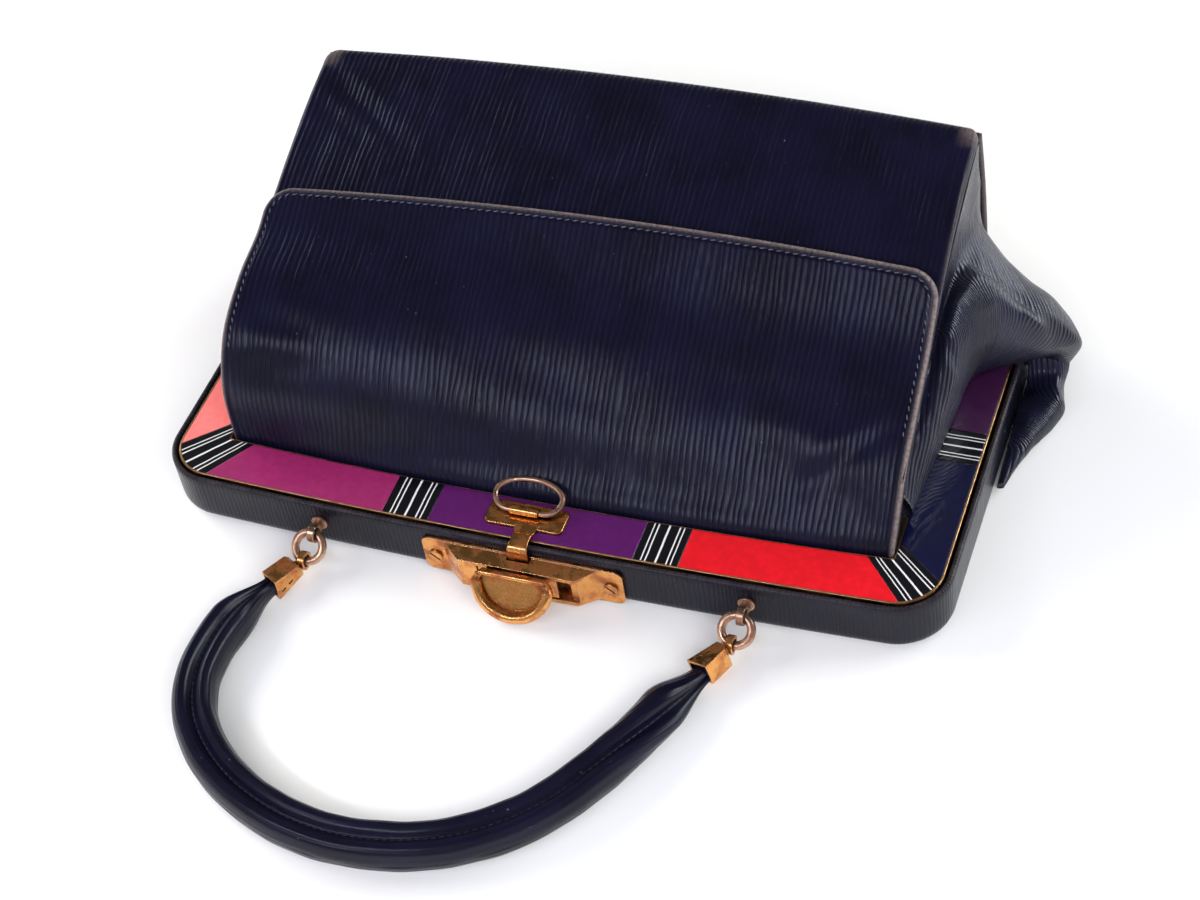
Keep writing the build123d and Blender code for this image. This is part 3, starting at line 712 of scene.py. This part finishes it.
# Rim of the thumb slide: a rolled bead along half an ellipse, notched across its outer side by a
# cosine of the distance run, and the turned lip along the straight edge
def slideRimObject():
    shape, sides = slideShape, 24
    outward, upward, across = np.array(shape["outward"]), np.array(shape["upward"]), np.array([1.0, 0, 0])
    angle = np.linspace(np.pi * 0.955, np.pi * 2.045, 300)[6:-6]
    wide, high = shape["radius"]
    arc = np.stack([wide * np.cos(angle), shape["low"] + high * np.sin(angle)], -1)
    flat = np.concatenate([[(-shape["ends"], -1.4)], arc, [(shape["ends"], -1.4)]])
    line = np.array(shape["place"]) + flat[:, :1] * across + flat[:, 1:] * upward + 1.75 * outward
    around = np.linspace(0, 2 * np.pi, sides, endpoint=False)
    step = runLength(flat)[:, None]
    part = step / step[-1]
    notch = 0.5 + 0.5 * np.cos(part * 2 * np.pi * shape["notches"])
    fade = np.clip(np.sin(np.pi * part) * 1.6 - 0.35, 0, 1)
    ends = np.clip(np.minimum(step, step[-1] - step) / 2.5, 0.45, 1)
    cut = shape["notchDepth"] * notch * fade * np.clip(-np.cos(around), 0, 1) ** 0.5
    radius = shape["bead"] * ends * (1 + 0.12 * fade) - cut
    rim = loopObject("slideRim", placedPoints(tubeLoops(line, radius, sides, outward)))
    x = np.linspace(-11.9, 11.9, 40)[:, None]
    bar = np.array(shape["place"]) + x * across - 0.75 * upward + 2.0 * outward
    size = shape["lip"] * np.clip(shape["ends"] - abs(x), 0.3, 1) ** 0.5
    return joined(rim, loopObject("slideLip", placedPoints(tubeLoops(bar, size, 14, outward))))


slideRim = slideRimObject()

# Hasp: a plate with soft corners that domes a little, and a neck that dips over the edge of the
# enamel, rises over the gap and turns down into the lock; the lines are (run, up) along the middle
# of the sheet
haspShape = {
    "centre": (-3.25, 9.5),
    "size": (28.4, 10.5),
    "corner": 2.4,
    "plateUp": 21.55,
    "plateLow": 20.27,
    "neckX": -1.6,
    "neck": [
        *[(6.0, 21.3), (4.0, 21.35), (2.9, 20.95), (2.2, 20.9), (1.2, 21.3), (-0.4, 21.5), (-2.2, 21.5)],
        *[(-3.6, 21.35), (-4.6, 20.7), (-5.05, 19.6), (-5.1, 17.5), (-5.1, 13), (-5.1, 9.1)],
    ],
    "neckWidths": [9.5, 7.8, 6.8, 6.4, 6.4, 6.8, *[7.2] * 7],
    "sheet": 1.0,
    "tube": (-3.9, 10.0, 22.95),
    "tubeRadius": 1.75,
    "tubeHalf": 5.2,
    "edge": 0.45,
    "seam": 0.16,
}


# Plate: a rectangle with rounded corners whose top falls by a quarter circle at the edge and by the
# cube of the place across. Neck: the line moved up and down by half the sheet, spread over its
# width. Tube: a short tube with a seam
def haspObject():
    shape = haspShape
    (cx, cy), (width, depth), edge = shape["centre"], shape["size"], shape["edge"]
    even = lambda count: np.sin(np.linspace(-np.pi / 2, np.pi / 2, count))
    u, v = even(60)[None, :], even(26)[:, None]
    toX, toY = width / 2 * (1 - abs(u)) + 0 * v, depth / 2 * (1 - abs(v)) + 0 * u
    sideX, sideY = roundedCorner(toX, toY, shape["corner"])
    x = cx + np.sign(u) * (width / 2 - sideX)
    y = cy + np.sign(v) * (depth / 2 - sideY)
    short = np.clip(edge - np.minimum(toX, toY), 0, edge)
    soft = edge - np.sqrt(edge**2 - short**2)
    top = shape["plateUp"] - soft - 0.25 * (abs(u) ** 3)
    plate = shellObject("haspPlate", placed(x, y, top), placed(x, y, shape["plateLow"]))
    line = smoothCurve(shape["neck"], 80)
    widths = shape["neckWidths"]
    wide = np.interp(np.linspace(0, 1, 80), np.linspace(0, 1, len(widths)), widths) / 2
    over, under = shifted(line, -shape["sheet"] / 2), shifted(line, shape["sheet"] / 2)
    t = np.linspace(-1, 1, 14)[None, :]
    across = shape["neckX"] + wide[:, None] * np.sign(t) * abs(t) ** 0.7
    fall = 0.35 * np.clip(abs(t) - 0.8, 0, 1) / 0.2
    blend = lambda first, second: first[:, None] * (1 - fall) + second[:, None] * fall
    outer = placed(across, blend(over[:, 0], under[:, 0]), blend(over[:, 1], under[:, 1]))
    inner = placed(across, under[:, :1] + 0 * t, under[:, 1:] + 0 * t)
    neck = shellObject("haspNeck", outer, inner)
    x = np.linspace(-1, 1, 30)[:, None] * shape["tubeHalf"]
    tube = np.array(shape["tube"]) + x * (1.0, 0, 0)
    seam = np.linspace(0, 2 * np.pi, 24, endpoint=False)
    size = shape["tubeRadius"] - 0.35 * np.clip(abs(x) - shape["tubeHalf"] + 0.5, 0, 1)
    radius = size - shape["seam"] * np.exp(-(((seam - 2.1) / 0.12) ** 2))
    return joined(plate, neck, loopObject("haspTube", placedPoints(tubeLoops(tube, radius, 24, (0, 0, 1.0)))))


hasp = haspObject()
print("fittings made")


# Nodes of a shader tree: inputs are sockets to link or values to set
class Graph:
    def __init__(self, tree):
        self.tree = tree

    def add(self, kind, inputs=None, **settings):
        made = self.tree.nodes.new("ShaderNode" + kind)
        for key, value in settings.items():
            setattr(made, key, value)
        self.fill(made, inputs or {})
        return made

    def fill(self, made, inputs):
        for key, value in inputs.items():
            if isinstance(value, bpy.types.NodeSocket):
                self.tree.links.new(value, made.inputs[key])
            else:
                made.inputs[key].default_value = value

    def math(self, operation, *values, clamp=False):
        return self.add("Math", dict(enumerate(values)), operation=operation, use_clamp=clamp).outputs[0]

    def vector(self, operation, *values, output=0):
        return self.add("VectorMath", dict(enumerate(values)), operation=operation).outputs[output]

    def noise(self, place, scale, detail=3.0, roughness=0.5):
        inputs = {"Vector": place, "Scale": scale, "Detail": detail, "Roughness": roughness}
        return self.add("TexNoise", inputs).outputs["Fac"]

    def range(self, value, low, high, to=(0.0, 1.0)):
        inputs = {"Value": value, "From Min": low, "From Max": high, "To Min": to[0], "To Max": to[1]}
        return self.add("MapRange", inputs, interpolation_type="SMOOTHSTEP").outputs[0]

    def colour(self, factor, first, second):
        return self.add("Mix", {"Factor": factor, 6: first, 7: second}, data_type="RGBA").outputs[2]

    def bump(self, height, distance, strength, normal=None):
        inputs = {"Height": height, "Distance": distance, "Strength": strength}
        return self.add("Bump", inputs | ({"Normal": normal} if normal else {})).outputs[0]

    def join(self, x, y, z=0.0):
        return self.add("CombineXYZ", {0: x, 1: y, 2: z}).outputs[0]

    def split(self, place):
        return self.add("SeparateXYZ", {0: place}).outputs

    def group(self, tree, **inputs):
        made = self.tree.nodes.new("ShaderNodeGroup")
        made.node_tree = tree
        self.fill(made, inputs)
        return made.outputs


# Node group with float or vector sockets; build gets the graph and the input sockets and returns
# the outputs by name
def shaderGroup(name, inputs, outputs, build):
    tree = bpy.data.node_groups.new(name, "ShaderNodeTree")
    for key, kind in inputs.items():
        tree.interface.new_socket(key, in_out="INPUT", socket_type="NodeSocket" + kind)
    for key, kind in outputs.items():
        tree.interface.new_socket(key, in_out="OUTPUT", socket_type="NodeSocket" + kind)
    graph = Graph(tree)
    start = tree.nodes.new("NodeGroupInput")
    end = tree.nodes.new("NodeGroupOutput")
    for key, socket in build(graph, start.outputs).items():
        tree.links.new(socket, end.inputs[key])
    return tree


# Embossed ridges along the second grain direction: a sine of the place across, which noise shifts
# so that they waver and fork, broken by gaps, with a fine grain on top
def buildRidges(g, sockets):
    across, along, depth = g.split(sockets["Place"])
    pitch = sockets["Pitch"]
    sway = g.noise(g.join(g.math("MULTIPLY", across, 60), g.math("MULTIPLY", along, 16), depth), 1.0, 2)
    drift = g.noise(g.join(g.math("MULTIPLY", across, 300), g.math("MULTIPLY", along, 45), depth), 1.0, 1)
    moved = g.math("ADD", across, g.math("MULTIPLY", g.math("SUBTRACT", sway, 0.5), 0.0042))
    moved = g.math("ADD", moved, g.math("MULTIPLY", g.math("SUBTRACT", drift, 0.5), 0.0011))
    wave = g.math("SINE", g.math("MULTIPLY", g.math("DIVIDE", moved, pitch), 6.2832))
    crest = g.math("POWER", g.math("MULTIPLY_ADD", wave, 0.5, 0.5), 0.62)
    gap = g.noise(g.join(g.math("MULTIPLY", across, 420), g.math("MULTIPLY", along, 110), depth), 1.0, 2)
    crest = g.math("MULTIPLY", crest, g.range(gap, 0.25, 0.6, (0.6, 1.0)))
    fine = g.noise(sockets["Place"], 2600.0, 2)
    return {"Crest": crest, "Fine": fine}


ridgeGroup = shaderGroup(
    "leatherRidges", {"Place": "Vector", "Pitch": "Float"}, {"Crest": "Float", "Fine": "Float"}, buildRidges
)


# White lines across a black band: the place is a fraction of the way between the band's two border
# lines, and a line shows where that fraction is near one of five values
def buildLines(g, sockets):
    reach = lambda line: g.vector("DOT_PRODUCT", sockets["Place"], sockets["Normal " + line], output=1)
    near = lambda line: g.math("SUBTRACT", reach(line), sockets["Offset " + line])
    first, second = near("A"), near("B")
    fraction = g.math("DIVIDE", first, g.math("ADD", first, second))
    waver = g.noise(sockets["Place"], 140.0, 1)
    fraction = g.math("ADD", fraction, g.math("MULTIPLY", g.math("SUBTRACT", waver, 0.5), 0.022))
    mask = None
    for centre, half in ((0.17, 0.009), (0.265, 0.011), (0.5, 0.018), (0.735, 0.011), (0.83, 0.009)):
        gap = g.math("ABSOLUTE", g.math("SUBTRACT", fraction, centre))
        line = g.range(gap, half, half + 0.008, (1.0, 0.0))
        mask = line if mask is None else g.math("MAXIMUM", mask, line)
    return {"Mask": mask}


lineGroup = shaderGroup(
    "bandLines",
    {"Place": "Vector", "Normal A": "Vector", "Offset A": "Float", "Normal B": "Vector", "Offset B": "Float"},
    {"Mask": "Float"},
    buildLines,
)


# Edges of a solid: a wide rounded normal and how far it turns from the flat one
def buildEdges(g, sockets):
    rounded = g.add("Bevel", {"Radius": sockets["Radius"]}, samples=6).outputs[0]
    flat = g.add("NewGeometry").outputs["Normal"]
    turned = g.math("SUBTRACT", 1.0, g.vector("DOT_PRODUCT", rounded, flat, output=1))
    return {"Normal": rounded, "Edge": g.range(turned, 0.02, 0.25)}


edgeGroup = shaderGroup(
    "roundedEdges", {"Radius": "Float"}, {"Normal": "Vector", "Edge": "Float"}, buildEdges
)


# Linear colour from the 0 to 255 values of a screen
def tone(red, green, blue):
    value = np.array([red, green, blue]) / 255
    return (*np.where(value < 0.04045, value / 12.92, ((value + 0.055) / 1.055) ** 2.4).tolist(), 1.0)


# Empty material and the graph of its nodes
def newMaterial(name):
    material = bpy.data.materials.new(name)
    material.use_nodes = True
    material.node_tree.nodes.clear()
    return material, Graph(material.node_tree)


# Surface shader with the named inputs, linked to the output
def finishSurface(g, **inputs):
    names = {
        "colour": "Base Color",
        "rough": "Roughness",
        "metal": "Metallic",
        "normal": "Normal",
        "specular": "Specular IOR Level",
        "coat": "Coat Weight",
        "coatRough": "Coat Roughness",
        "coatNormal": "Coat Normal",
        "sheen": "Sheen Weight",
    }
    shader = g.add("BsdfPrincipled", {names[key]: value for key, value in inputs.items()})
    g.add("OutputMaterial", {"Surface": shader.outputs[0]})


# Embossed leather: the crests are smoother and their colour is lightened as a painted highlight, pale
# specks are painted glints, and the wear attribute shows the grey-brown flesh of the edges
def leatherMaterial(name, look):
    material, g = newMaterial(name)
    place = g.add("Attribute", attribute_name="grain").outputs["Vector"]
    worn = g.add("Attribute", attribute_name="wear").outputs["Fac"]
    ridges = g.group(ridgeGroup, Place=place, Pitch=look["pitch"])
    crest, fine = ridges["Crest"], ridges["Fine"]
    cloud = g.noise(place, 38.0, 4)
    base = g.colour(g.range(cloud, 0.3, 0.7), tone(*look["dark"]), tone(*look["light"]))
    # painted highlight: the crest colour lightens the ridge tops
    base = g.colour(g.math("MULTIPLY", crest, 0.35), base, tone(*look["crest"]))
    rub = g.noise(place, 900.0, 4, 0.7)
    mask = g.math("MULTIPLY", worn, g.range(rub, 0.28, 0.62, (0.35, 1.0)), clamp=True)
    base = g.colour(mask, base, tone(*look["worn"]))
    # painted glints: sparse pale bluish specks
    paintedGlint = g.range(g.noise(place, 700.0, 1), 0.79, 0.83)
    base = g.colour(g.math("MULTIPLY", paintedGlint, 0.35), base, tone(150, 155, 175))
    rough = g.math("SUBTRACT", look["rough"], g.math("MULTIPLY", crest, look["shine"]))
    rough = g.math("ADD", rough, g.math("MULTIPLY", mask, 0.25))
    height = g.math("ADD", crest, g.math("MULTIPLY", fine, 0.25))
    normal = g.bump(height, look["depth"], 0.9)
    finishSurface(g, colour=base, rough=rough, normal=normal, specular=look["specular"])
    return material


# Aged metal: painted highlight that lightens the edges, darker and less metallic where noise puts
# patina, painted shade that darkens the colour where walls are near, and fine scratches in the roughness
def metalMaterial(name, look):
    material, g = newMaterial(name)
    place = g.add("TexCoord").outputs["Object"]
    edges = g.group(edgeGroup, Radius=look["radius"])
    patch = g.range(g.noise(place, 160.0, 5, 0.6), look["patina"][0], look["patina"][1])
    streak = g.noise(g.vector("MULTIPLY", place, (260.0, 1400.0, 1400.0)), 1.0, 3)
    base = g.colour(patch, tone(*look["bright"]), tone(*look["dull"]))
    # painted highlight: the pale edge colour lightens the rounded edges where the bevel normal turns
    base = g.colour(g.math("MULTIPLY", edges["Edge"], 0.5), base, tone(*look["edge"]))
    # painted shade: ambient occlusion darkens the colour towards the recess colour where walls are near
    hidden = g.add("AmbientOcclusion", {"Distance": 0.0025}, samples=4).outputs["AO"]
    base = g.colour(g.range(hidden, 0.25, 0.9, (0.8, 0.0)), base, tone(*look["recessShade"]))
    rough = g.math("MULTIPLY_ADD", streak, 0.16, look["rough"])
    rough = g.math("ADD", rough, g.math("MULTIPLY", patch, 0.12))
    metal = g.math("MULTIPLY_ADD", patch, -0.3, 1.0)
    normal = g.bump(streak, 0.000008, 0.5, edges["Normal"])
    finishSurface(g, colour=base, rough=rough, metal=metal, normal=normal)
    return material


# Normal and offset of the border line through two points in (across, run), counted towards the
# middle of the other line
def borderLine(line, other):
    (x0, y0), (x1, y1) = line
    normal = np.array([y0 - y1, x1 - x0]) / np.hypot(x1 - x0, y1 - y0)
    centre = np.mean(other, axis=0)
    if (centre - line[0]) @ normal < 0:
        normal = -normal
    offset = (np.array([x0, y0 + barLine]) / 1000) @ normal
    return (*normal.tolist(), 0.0), float(offset)


# Enamel under a clear glaze: faint mottling, chips at the edge, white lines on a black band
def enamelMaterial(name, colour, borders=None):
    material, g = newMaterial(name)
    place = g.add("TexCoord").outputs["Object"]
    edges = g.group(edgeGroup, Radius=0.0009)
    mottle = g.noise(place, 420.0, 3)
    pale = [min(255, value * 1.05 + 3) for value in colour]
    base = g.colour(g.range(mottle, 0.35, 0.7), tone(*colour), tone(*pale))
    if borders:
        (normalA, offsetA), (normalB, offsetB) = borderLine(*borders), borderLine(*borders[::-1])
        inputs = {"Normal A": normalA, "Offset A": offsetA, "Normal B": normalB, "Offset B": offsetB}
        mask = g.group(lineGroup, Place=place, **inputs)["Mask"]
        base = g.colour(mask, base, tone(232, 228, 224))
    chip = g.math("MULTIPLY", edges["Edge"], g.range(g.noise(place, 900.0, 3), 0.55, 0.7))
    base = g.colour(g.math("MULTIPLY", chip, 0.5), base, tone(120, 96, 84))
    swell = g.noise(place, 90.0, 2)
    normal = g.bump(swell, 0.0004, 0.25, edges["Normal"])
    finishSurface(g, colour=base, rough=0.28, normal=normal, coat=1.0, coatRough=0.06, coatNormal=normal)
    return material


# Woven lining: two crossed waves of thread
def liningMaterial(name):
    material, g = newMaterial(name)
    place = g.add("Attribute", attribute_name="grain").outputs["Vector"]
    across, along, _ = g.split(place)
    wave = lambda value, turn: g.math("SINE", g.math("MULTIPLY_ADD", value, 9000.0, turn))
    weave = g.math("MULTIPLY", wave(across, 0.0), wave(along, 1.2))
    weave = g.math("MULTIPLY_ADD", weave, 0.5, 0.5)
    blot = g.noise(place, 30.0, 4)
    base = g.colour(g.range(blot, 0.3, 0.7), tone(150, 132, 110), tone(172, 154, 130))
    base = g.colour(g.math("MULTIPLY", weave, 0.25), base, tone(120, 102, 84))
    normal = g.bump(weave, 0.0002, 0.6)
    finishSurface(g, colour=base, rough=0.85, normal=normal, sheen=0.3)
    return material


# Sewing thread: a sine across the strands for its twist, and soiled patches
def threadMaterial(name, colour):
    material, g = newMaterial(name)
    place = g.add("TexCoord").outputs["Object"]
    twist = g.math("SINE", g.vector("DOT_PRODUCT", place, (9000.0, 6000.0, 4000.0), output=1))
    base = g.colour(g.noise(place, 500.0, 2), tone(*colour), tone(*[value * 0.6 for value in colour]))
    normal = g.bump(twist, 0.0001, 0.5)
    finishSurface(g, colour=base, rough=0.7, normal=normal)
    return material


# Looks of a finish under their headings, one row each, made into a dictionary of dictionaries
def looksFrom(headings, rows):
    return {name: dict(zip(headings, values)) for name, values in rows.items()}


fleshTone = (140, 124, 118)
# crest is the colour of the painted highlight on the ridges
leatherLooks = looksFrom(
    ("pitch", "depth", "dark", "light", "crest", "worn", "rough", "shine", "specular"),
    {
        "leatherBody": (0.0021, 0.00024, (7, 6, 16), (14, 13, 33), (22, 20, 46), fleshTone, 0.38, 0.16, 0.24),
        "leatherRim": (0.0016, 0.00008, (6, 6, 15), (11, 11, 25), (16, 16, 33), fleshTone, 0.38, 0.16, 0.24),
        "leatherFold": (0.0019, 0.00022, (11, 10, 22), (20, 20, 40), (32, 32, 54), fleshTone, 0.38, 0.16, 0.5),
        "leatherRoll": (0.0030, 0.0001, (9, 8, 19), (17, 16, 34), (20, 19, 38), fleshTone, 0.38, 0.16, 0.24),
    },
)
# edge is the colour of the painted highlight on the edges, recessShade that of the painted shade in recesses
metalLooks = looksFrom(
    ("bright", "dull", "edge", "recessShade", "patina", "rough", "radius"),
    {
        "agedBrass": ((240, 170, 98), (170, 92, 52), (255, 226, 176), (48, 24, 16), (0.42, 0.7), 0.17, 0.0005),
        "gilt": ((232, 180, 120), (150, 104, 66), (250, 214, 160), (60, 34, 20), (0.42, 0.7), 0.25, 0.0002),
        "bronze": ((226, 182, 150), (150, 106, 84), (255, 226, 196), (24, 14, 10), (0.4, 0.7), 0.2, 0.0004),
        "steel": ((120, 120, 124), (66, 64, 64), (170, 170, 170), (20, 18, 16), (0.4, 0.65), 0.35, 0.0004),
    },
)
metalLooks["agedBrassSmooth"] = metalLooks["agedBrass"] | {"radius": 0.00008}
leathers = {name: leatherMaterial(name, look) for name, look in leatherLooks.items()}
metals = {name: metalMaterial(name, look) for name, look in metalLooks.items()}
enamelColours = {
    "enamel_coral": (255, 124, 118),
    "enamel_magenta": (146, 34, 90),
    "enamel_purple": (80, 14, 84),
    "enamel_red": (214, 14, 28),
    "enamel_navy": (7, 7, 44),
    "enamel_plum": (56, 20, 56),
    "enamel_rear_left": (56, 20, 56),
}
# Border lines of each band, two points in (across, run) for each of its two sides
bandBorders = {
    "band_bar_left": (((-53.9, 0), (-53.9, 20)), ((-36.8, 0), (-36.8, 20))),
    "band_bar_right": (((37.8, 0), (37.8, 20)), ((53.5, 0), (53.5, 20))),
    "band_arm_left": (((-140, 66.3), (-120, 66.3)), ((-140, 81), (-120, 81))),
    "band_arm_right": (((120, 66.3), (140, 66.3)), ((120, 81), (140, 81))),
    "band_corner_left": (((-119.8, 31.4), (-144.5, 8.7)), ((-108.8, 24.1), (-126.6, -1.9))),
    "band_corner_right": (((109.3, 23.9), (131.2, -0.4)), ((117.6, 31.4), (147.9, 7.2))),
}
enamels = {name: enamelMaterial(name, colour) for name, colour in enamelColours.items()}
enamels |= {name: enamelMaterial(name, (3, 3, 8), borders) for name, borders in bandBorders.items()}
lining = liningMaterial("liningWeave")
thread = threadMaterial("paleThread", (104, 102, 116))
darkThread = threadMaterial("darkThread", (52, 50, 66))
print("materials made")


# The piece with this material alone
def dress(piece, material):
    piece.data.materials.clear()
    piece.data.materials.append(material)


nodeMaterials = {
    "agedBrass": [
        *["hasp_plate", "lock_case", "thumb_slide", "lock_bolt", "lock_screw_left", "lock_screw_right"],
        *["clip_left", "clip_right"],
    ],
    "gilt": ["front_frame"],
    "bronze": ["ring_left", "ring_right", "pull_ring", "handle_post_left", "handle_post_right"],
    "steel": ["back_frame", "hinge_pin_left", "hinge_pin_right"],
}
for metal, members in nodeMaterials.items():
    for member in members:
        dress(nodes[member], metals[metal])
for member, material in enamels.items():
    dress(nodes[member], material)

# Each piece with its material, slot, the nodes it stands for and the body it moves with; blended pieces
# carry two points between the back of the bag and the front half of the frame and only get their transform baked
bend = ((0, 0.012, 0.085), (0, -0.088, 0.03))
pieceTable = [
    (frontPanel, leathers["leatherBody"], "leather", ["front_panel"], bend),
    (frontOverlay, leathers["leatherBody"], "leather", ["front_overlay"], bend),
    (stitches, thread, "leather", [], bend),
    (gussets["Right"], leathers["leatherFold"], "leather", ["gusset_right"], bend),
    (gussets["Left"], leathers["leatherFold"], "leather", ["gusset_left"], bend),
    (liningFront, lining, "lining", ["lining_front"], bend),
    (basePanel, leathers["leatherBody"], "leather", ["base_panel"], "root"),
    (rimCover, leathers["leatherRim"], "leather", ["rim_cover"], "root"),
    (backPanel, leathers["leatherBody"], "leather", ["back_panel"], "root"),
    (liningBack, lining, "lining", ["lining_back"], "root"),
    (handleGrip, leathers["leatherRoll"], "leather", ["handle_grip"], "handle"),
    (handleStitches, darkThread, "leather", [], "handle"),
    (enamelLip, metals["gilt"], "gilt", [], "front_frame"),
    (hasp, metals["agedBrassSmooth"], "aged_brass", ["hasp_plate"], "front_frame"),
    (pullRing, metals["bronze"], "bronze", ["pull_ring"], "pull_ring"),
    (slideRim, metals["agedBrassSmooth"], "aged_brass", [], "lock_slide"),
]
for piece, material, slotName, replaced, motion in pieceTable:
    dress(piece, material)
    if replaced:
        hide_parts(*replaced)
    if isinstance(motion, str):
        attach(piece, motion)
    else:
        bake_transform(piece)
print("pieces placed")


# Table: a pale square a little under the object
def makeStage():
    size, low = 4.0, -0.0004
    corners = [(-size, -size, low), (size, -size, low), (size, size, low), (-size, size, low)]
    floor = meshObject("tableTop", corners, [[0, 1, 2, 3]])
    material, g = newMaterial("paleTable")
    place = g.add("TexCoord").outputs["Object"]
    base = g.colour(g.noise(place, 3.0, 2), tone(250, 246, 240), tone(244, 242, 240))
    finishSurface(g, colour=base, rough=0.75, specular=0.2)
    dress(floor, material)


# Rectangular light at a distance in a direction from the middle of the bag, facing it; unmirrored
# ones don't show in the shine of the surfaces
def addLight(name, direction, distance, size, watts, colour, mirrored):
    light = bpy.data.lights.new(name, "AREA")
    light.shape = "RECTANGLE"
    light.size, light.size_y = size
    light.energy = watts
    light.color = colour
    made = bpy.data.objects.new(name, light)
    direction = Vector(direction).normalized()
    made.location = Vector((0, 0, 0.03)) + direction * distance
    made.rotation_euler = direction.to_track_quat("Z", "Y").to_euler()
    made.visible_glossy = mirrored
    bpy.context.scene.collection.objects.link(made)


# Lights: direction, distance, size, watts, colour and whether surfaces mirror it
lightTable = {
    "windowLeft": ((-0.93, 0.12, 0.5), 1.5, (1.3, 1.0), 22, (1.0, 0.985, 0.96), False),
    "windowRight": ((0.55, -0.75, 0.6), 1.7, (1.6, 1.0), 27, (0.95, 0.97, 1.0), False),
    "lowFront": ((-0.31, -0.74, 0.6), 1.3, (1.0, 0.07), 6, (0.74, 0.78, 1.0), True),
    "backRight": ((0.72, 0.58, 0.42), 1.5, (1.3, 0.6), 17, (0.86, 0.92, 1.0), True),
    "glintLeft": ((-0.9, 0.3, 0.35), 1.4, (0.25, 0.6), 2.5, (0.8, 0.88, 1.0), True),
}
makeStage()
for lightName, lightValues in lightTable.items():
    addLight(lightName, *lightValues)


# Sky that is bright near the horizon and dark above, so that upward faces mirror a dim ceiling
def makeWorld():
    world = bpy.data.worlds.new("paleRoom")
    world.use_nodes = True
    world.node_tree.nodes.clear()
    g = Graph(world.node_tree)
    height = g.split(g.add("TexCoord").outputs["Generated"])[2]
    level = g.range(height, 0.05, 0.5, (0.5, 0.09))
    background = g.add("Background", {"Color": (0.95, 0.97, 1.0, 1), "Strength": level})
    world.node_tree.links.new(background.outputs[0], g.add("OutputWorld").inputs["Surface"])
    bpy.context.scene.world = world


makeWorld()
bpy.context.scene.view_settings.view_transform = "Standard"


cameraShape = {"place": (0.2715, -0.5923, 0.6341), "angles": (26.84, 46.76, -10.34), "lens": 72.9}


# Camera looking back along the direction of its azimuth and elevation, then rolled about that
# direction
def addCamera():
    data = bpy.data.cameras.new("camera")
    data.lens, data.sensor_width, data.clip_start = cameraShape["lens"], 36.0, 0.02
    camera = bpy.data.objects.new("camera", data)
    azimuth, elevation, roll = np.radians(cameraShape["angles"])
    right = np.array([np.cos(azimuth), np.sin(azimuth), 0])
    level = np.cos(elevation)
    back = np.array([np.sin(azimuth) * level, -np.cos(azimuth) * level, np.sin(elevation)])
    up = np.cross(back, right)
    turnedRight = right * np.cos(roll) + up * np.sin(roll)
    turnedUp = up * np.cos(roll) - right * np.sin(roll)
    rotation = Matrix(np.stack([turnedRight, turnedUp, back], 1).tolist())
    camera.matrix_world = Matrix.Translation(cameraShape["place"]) @ rotation.to_4x4()
    bpy.context.scene.collection.objects.link(camera)
    bpy.context.scene.camera = camera


addCamera()
print("stage made")
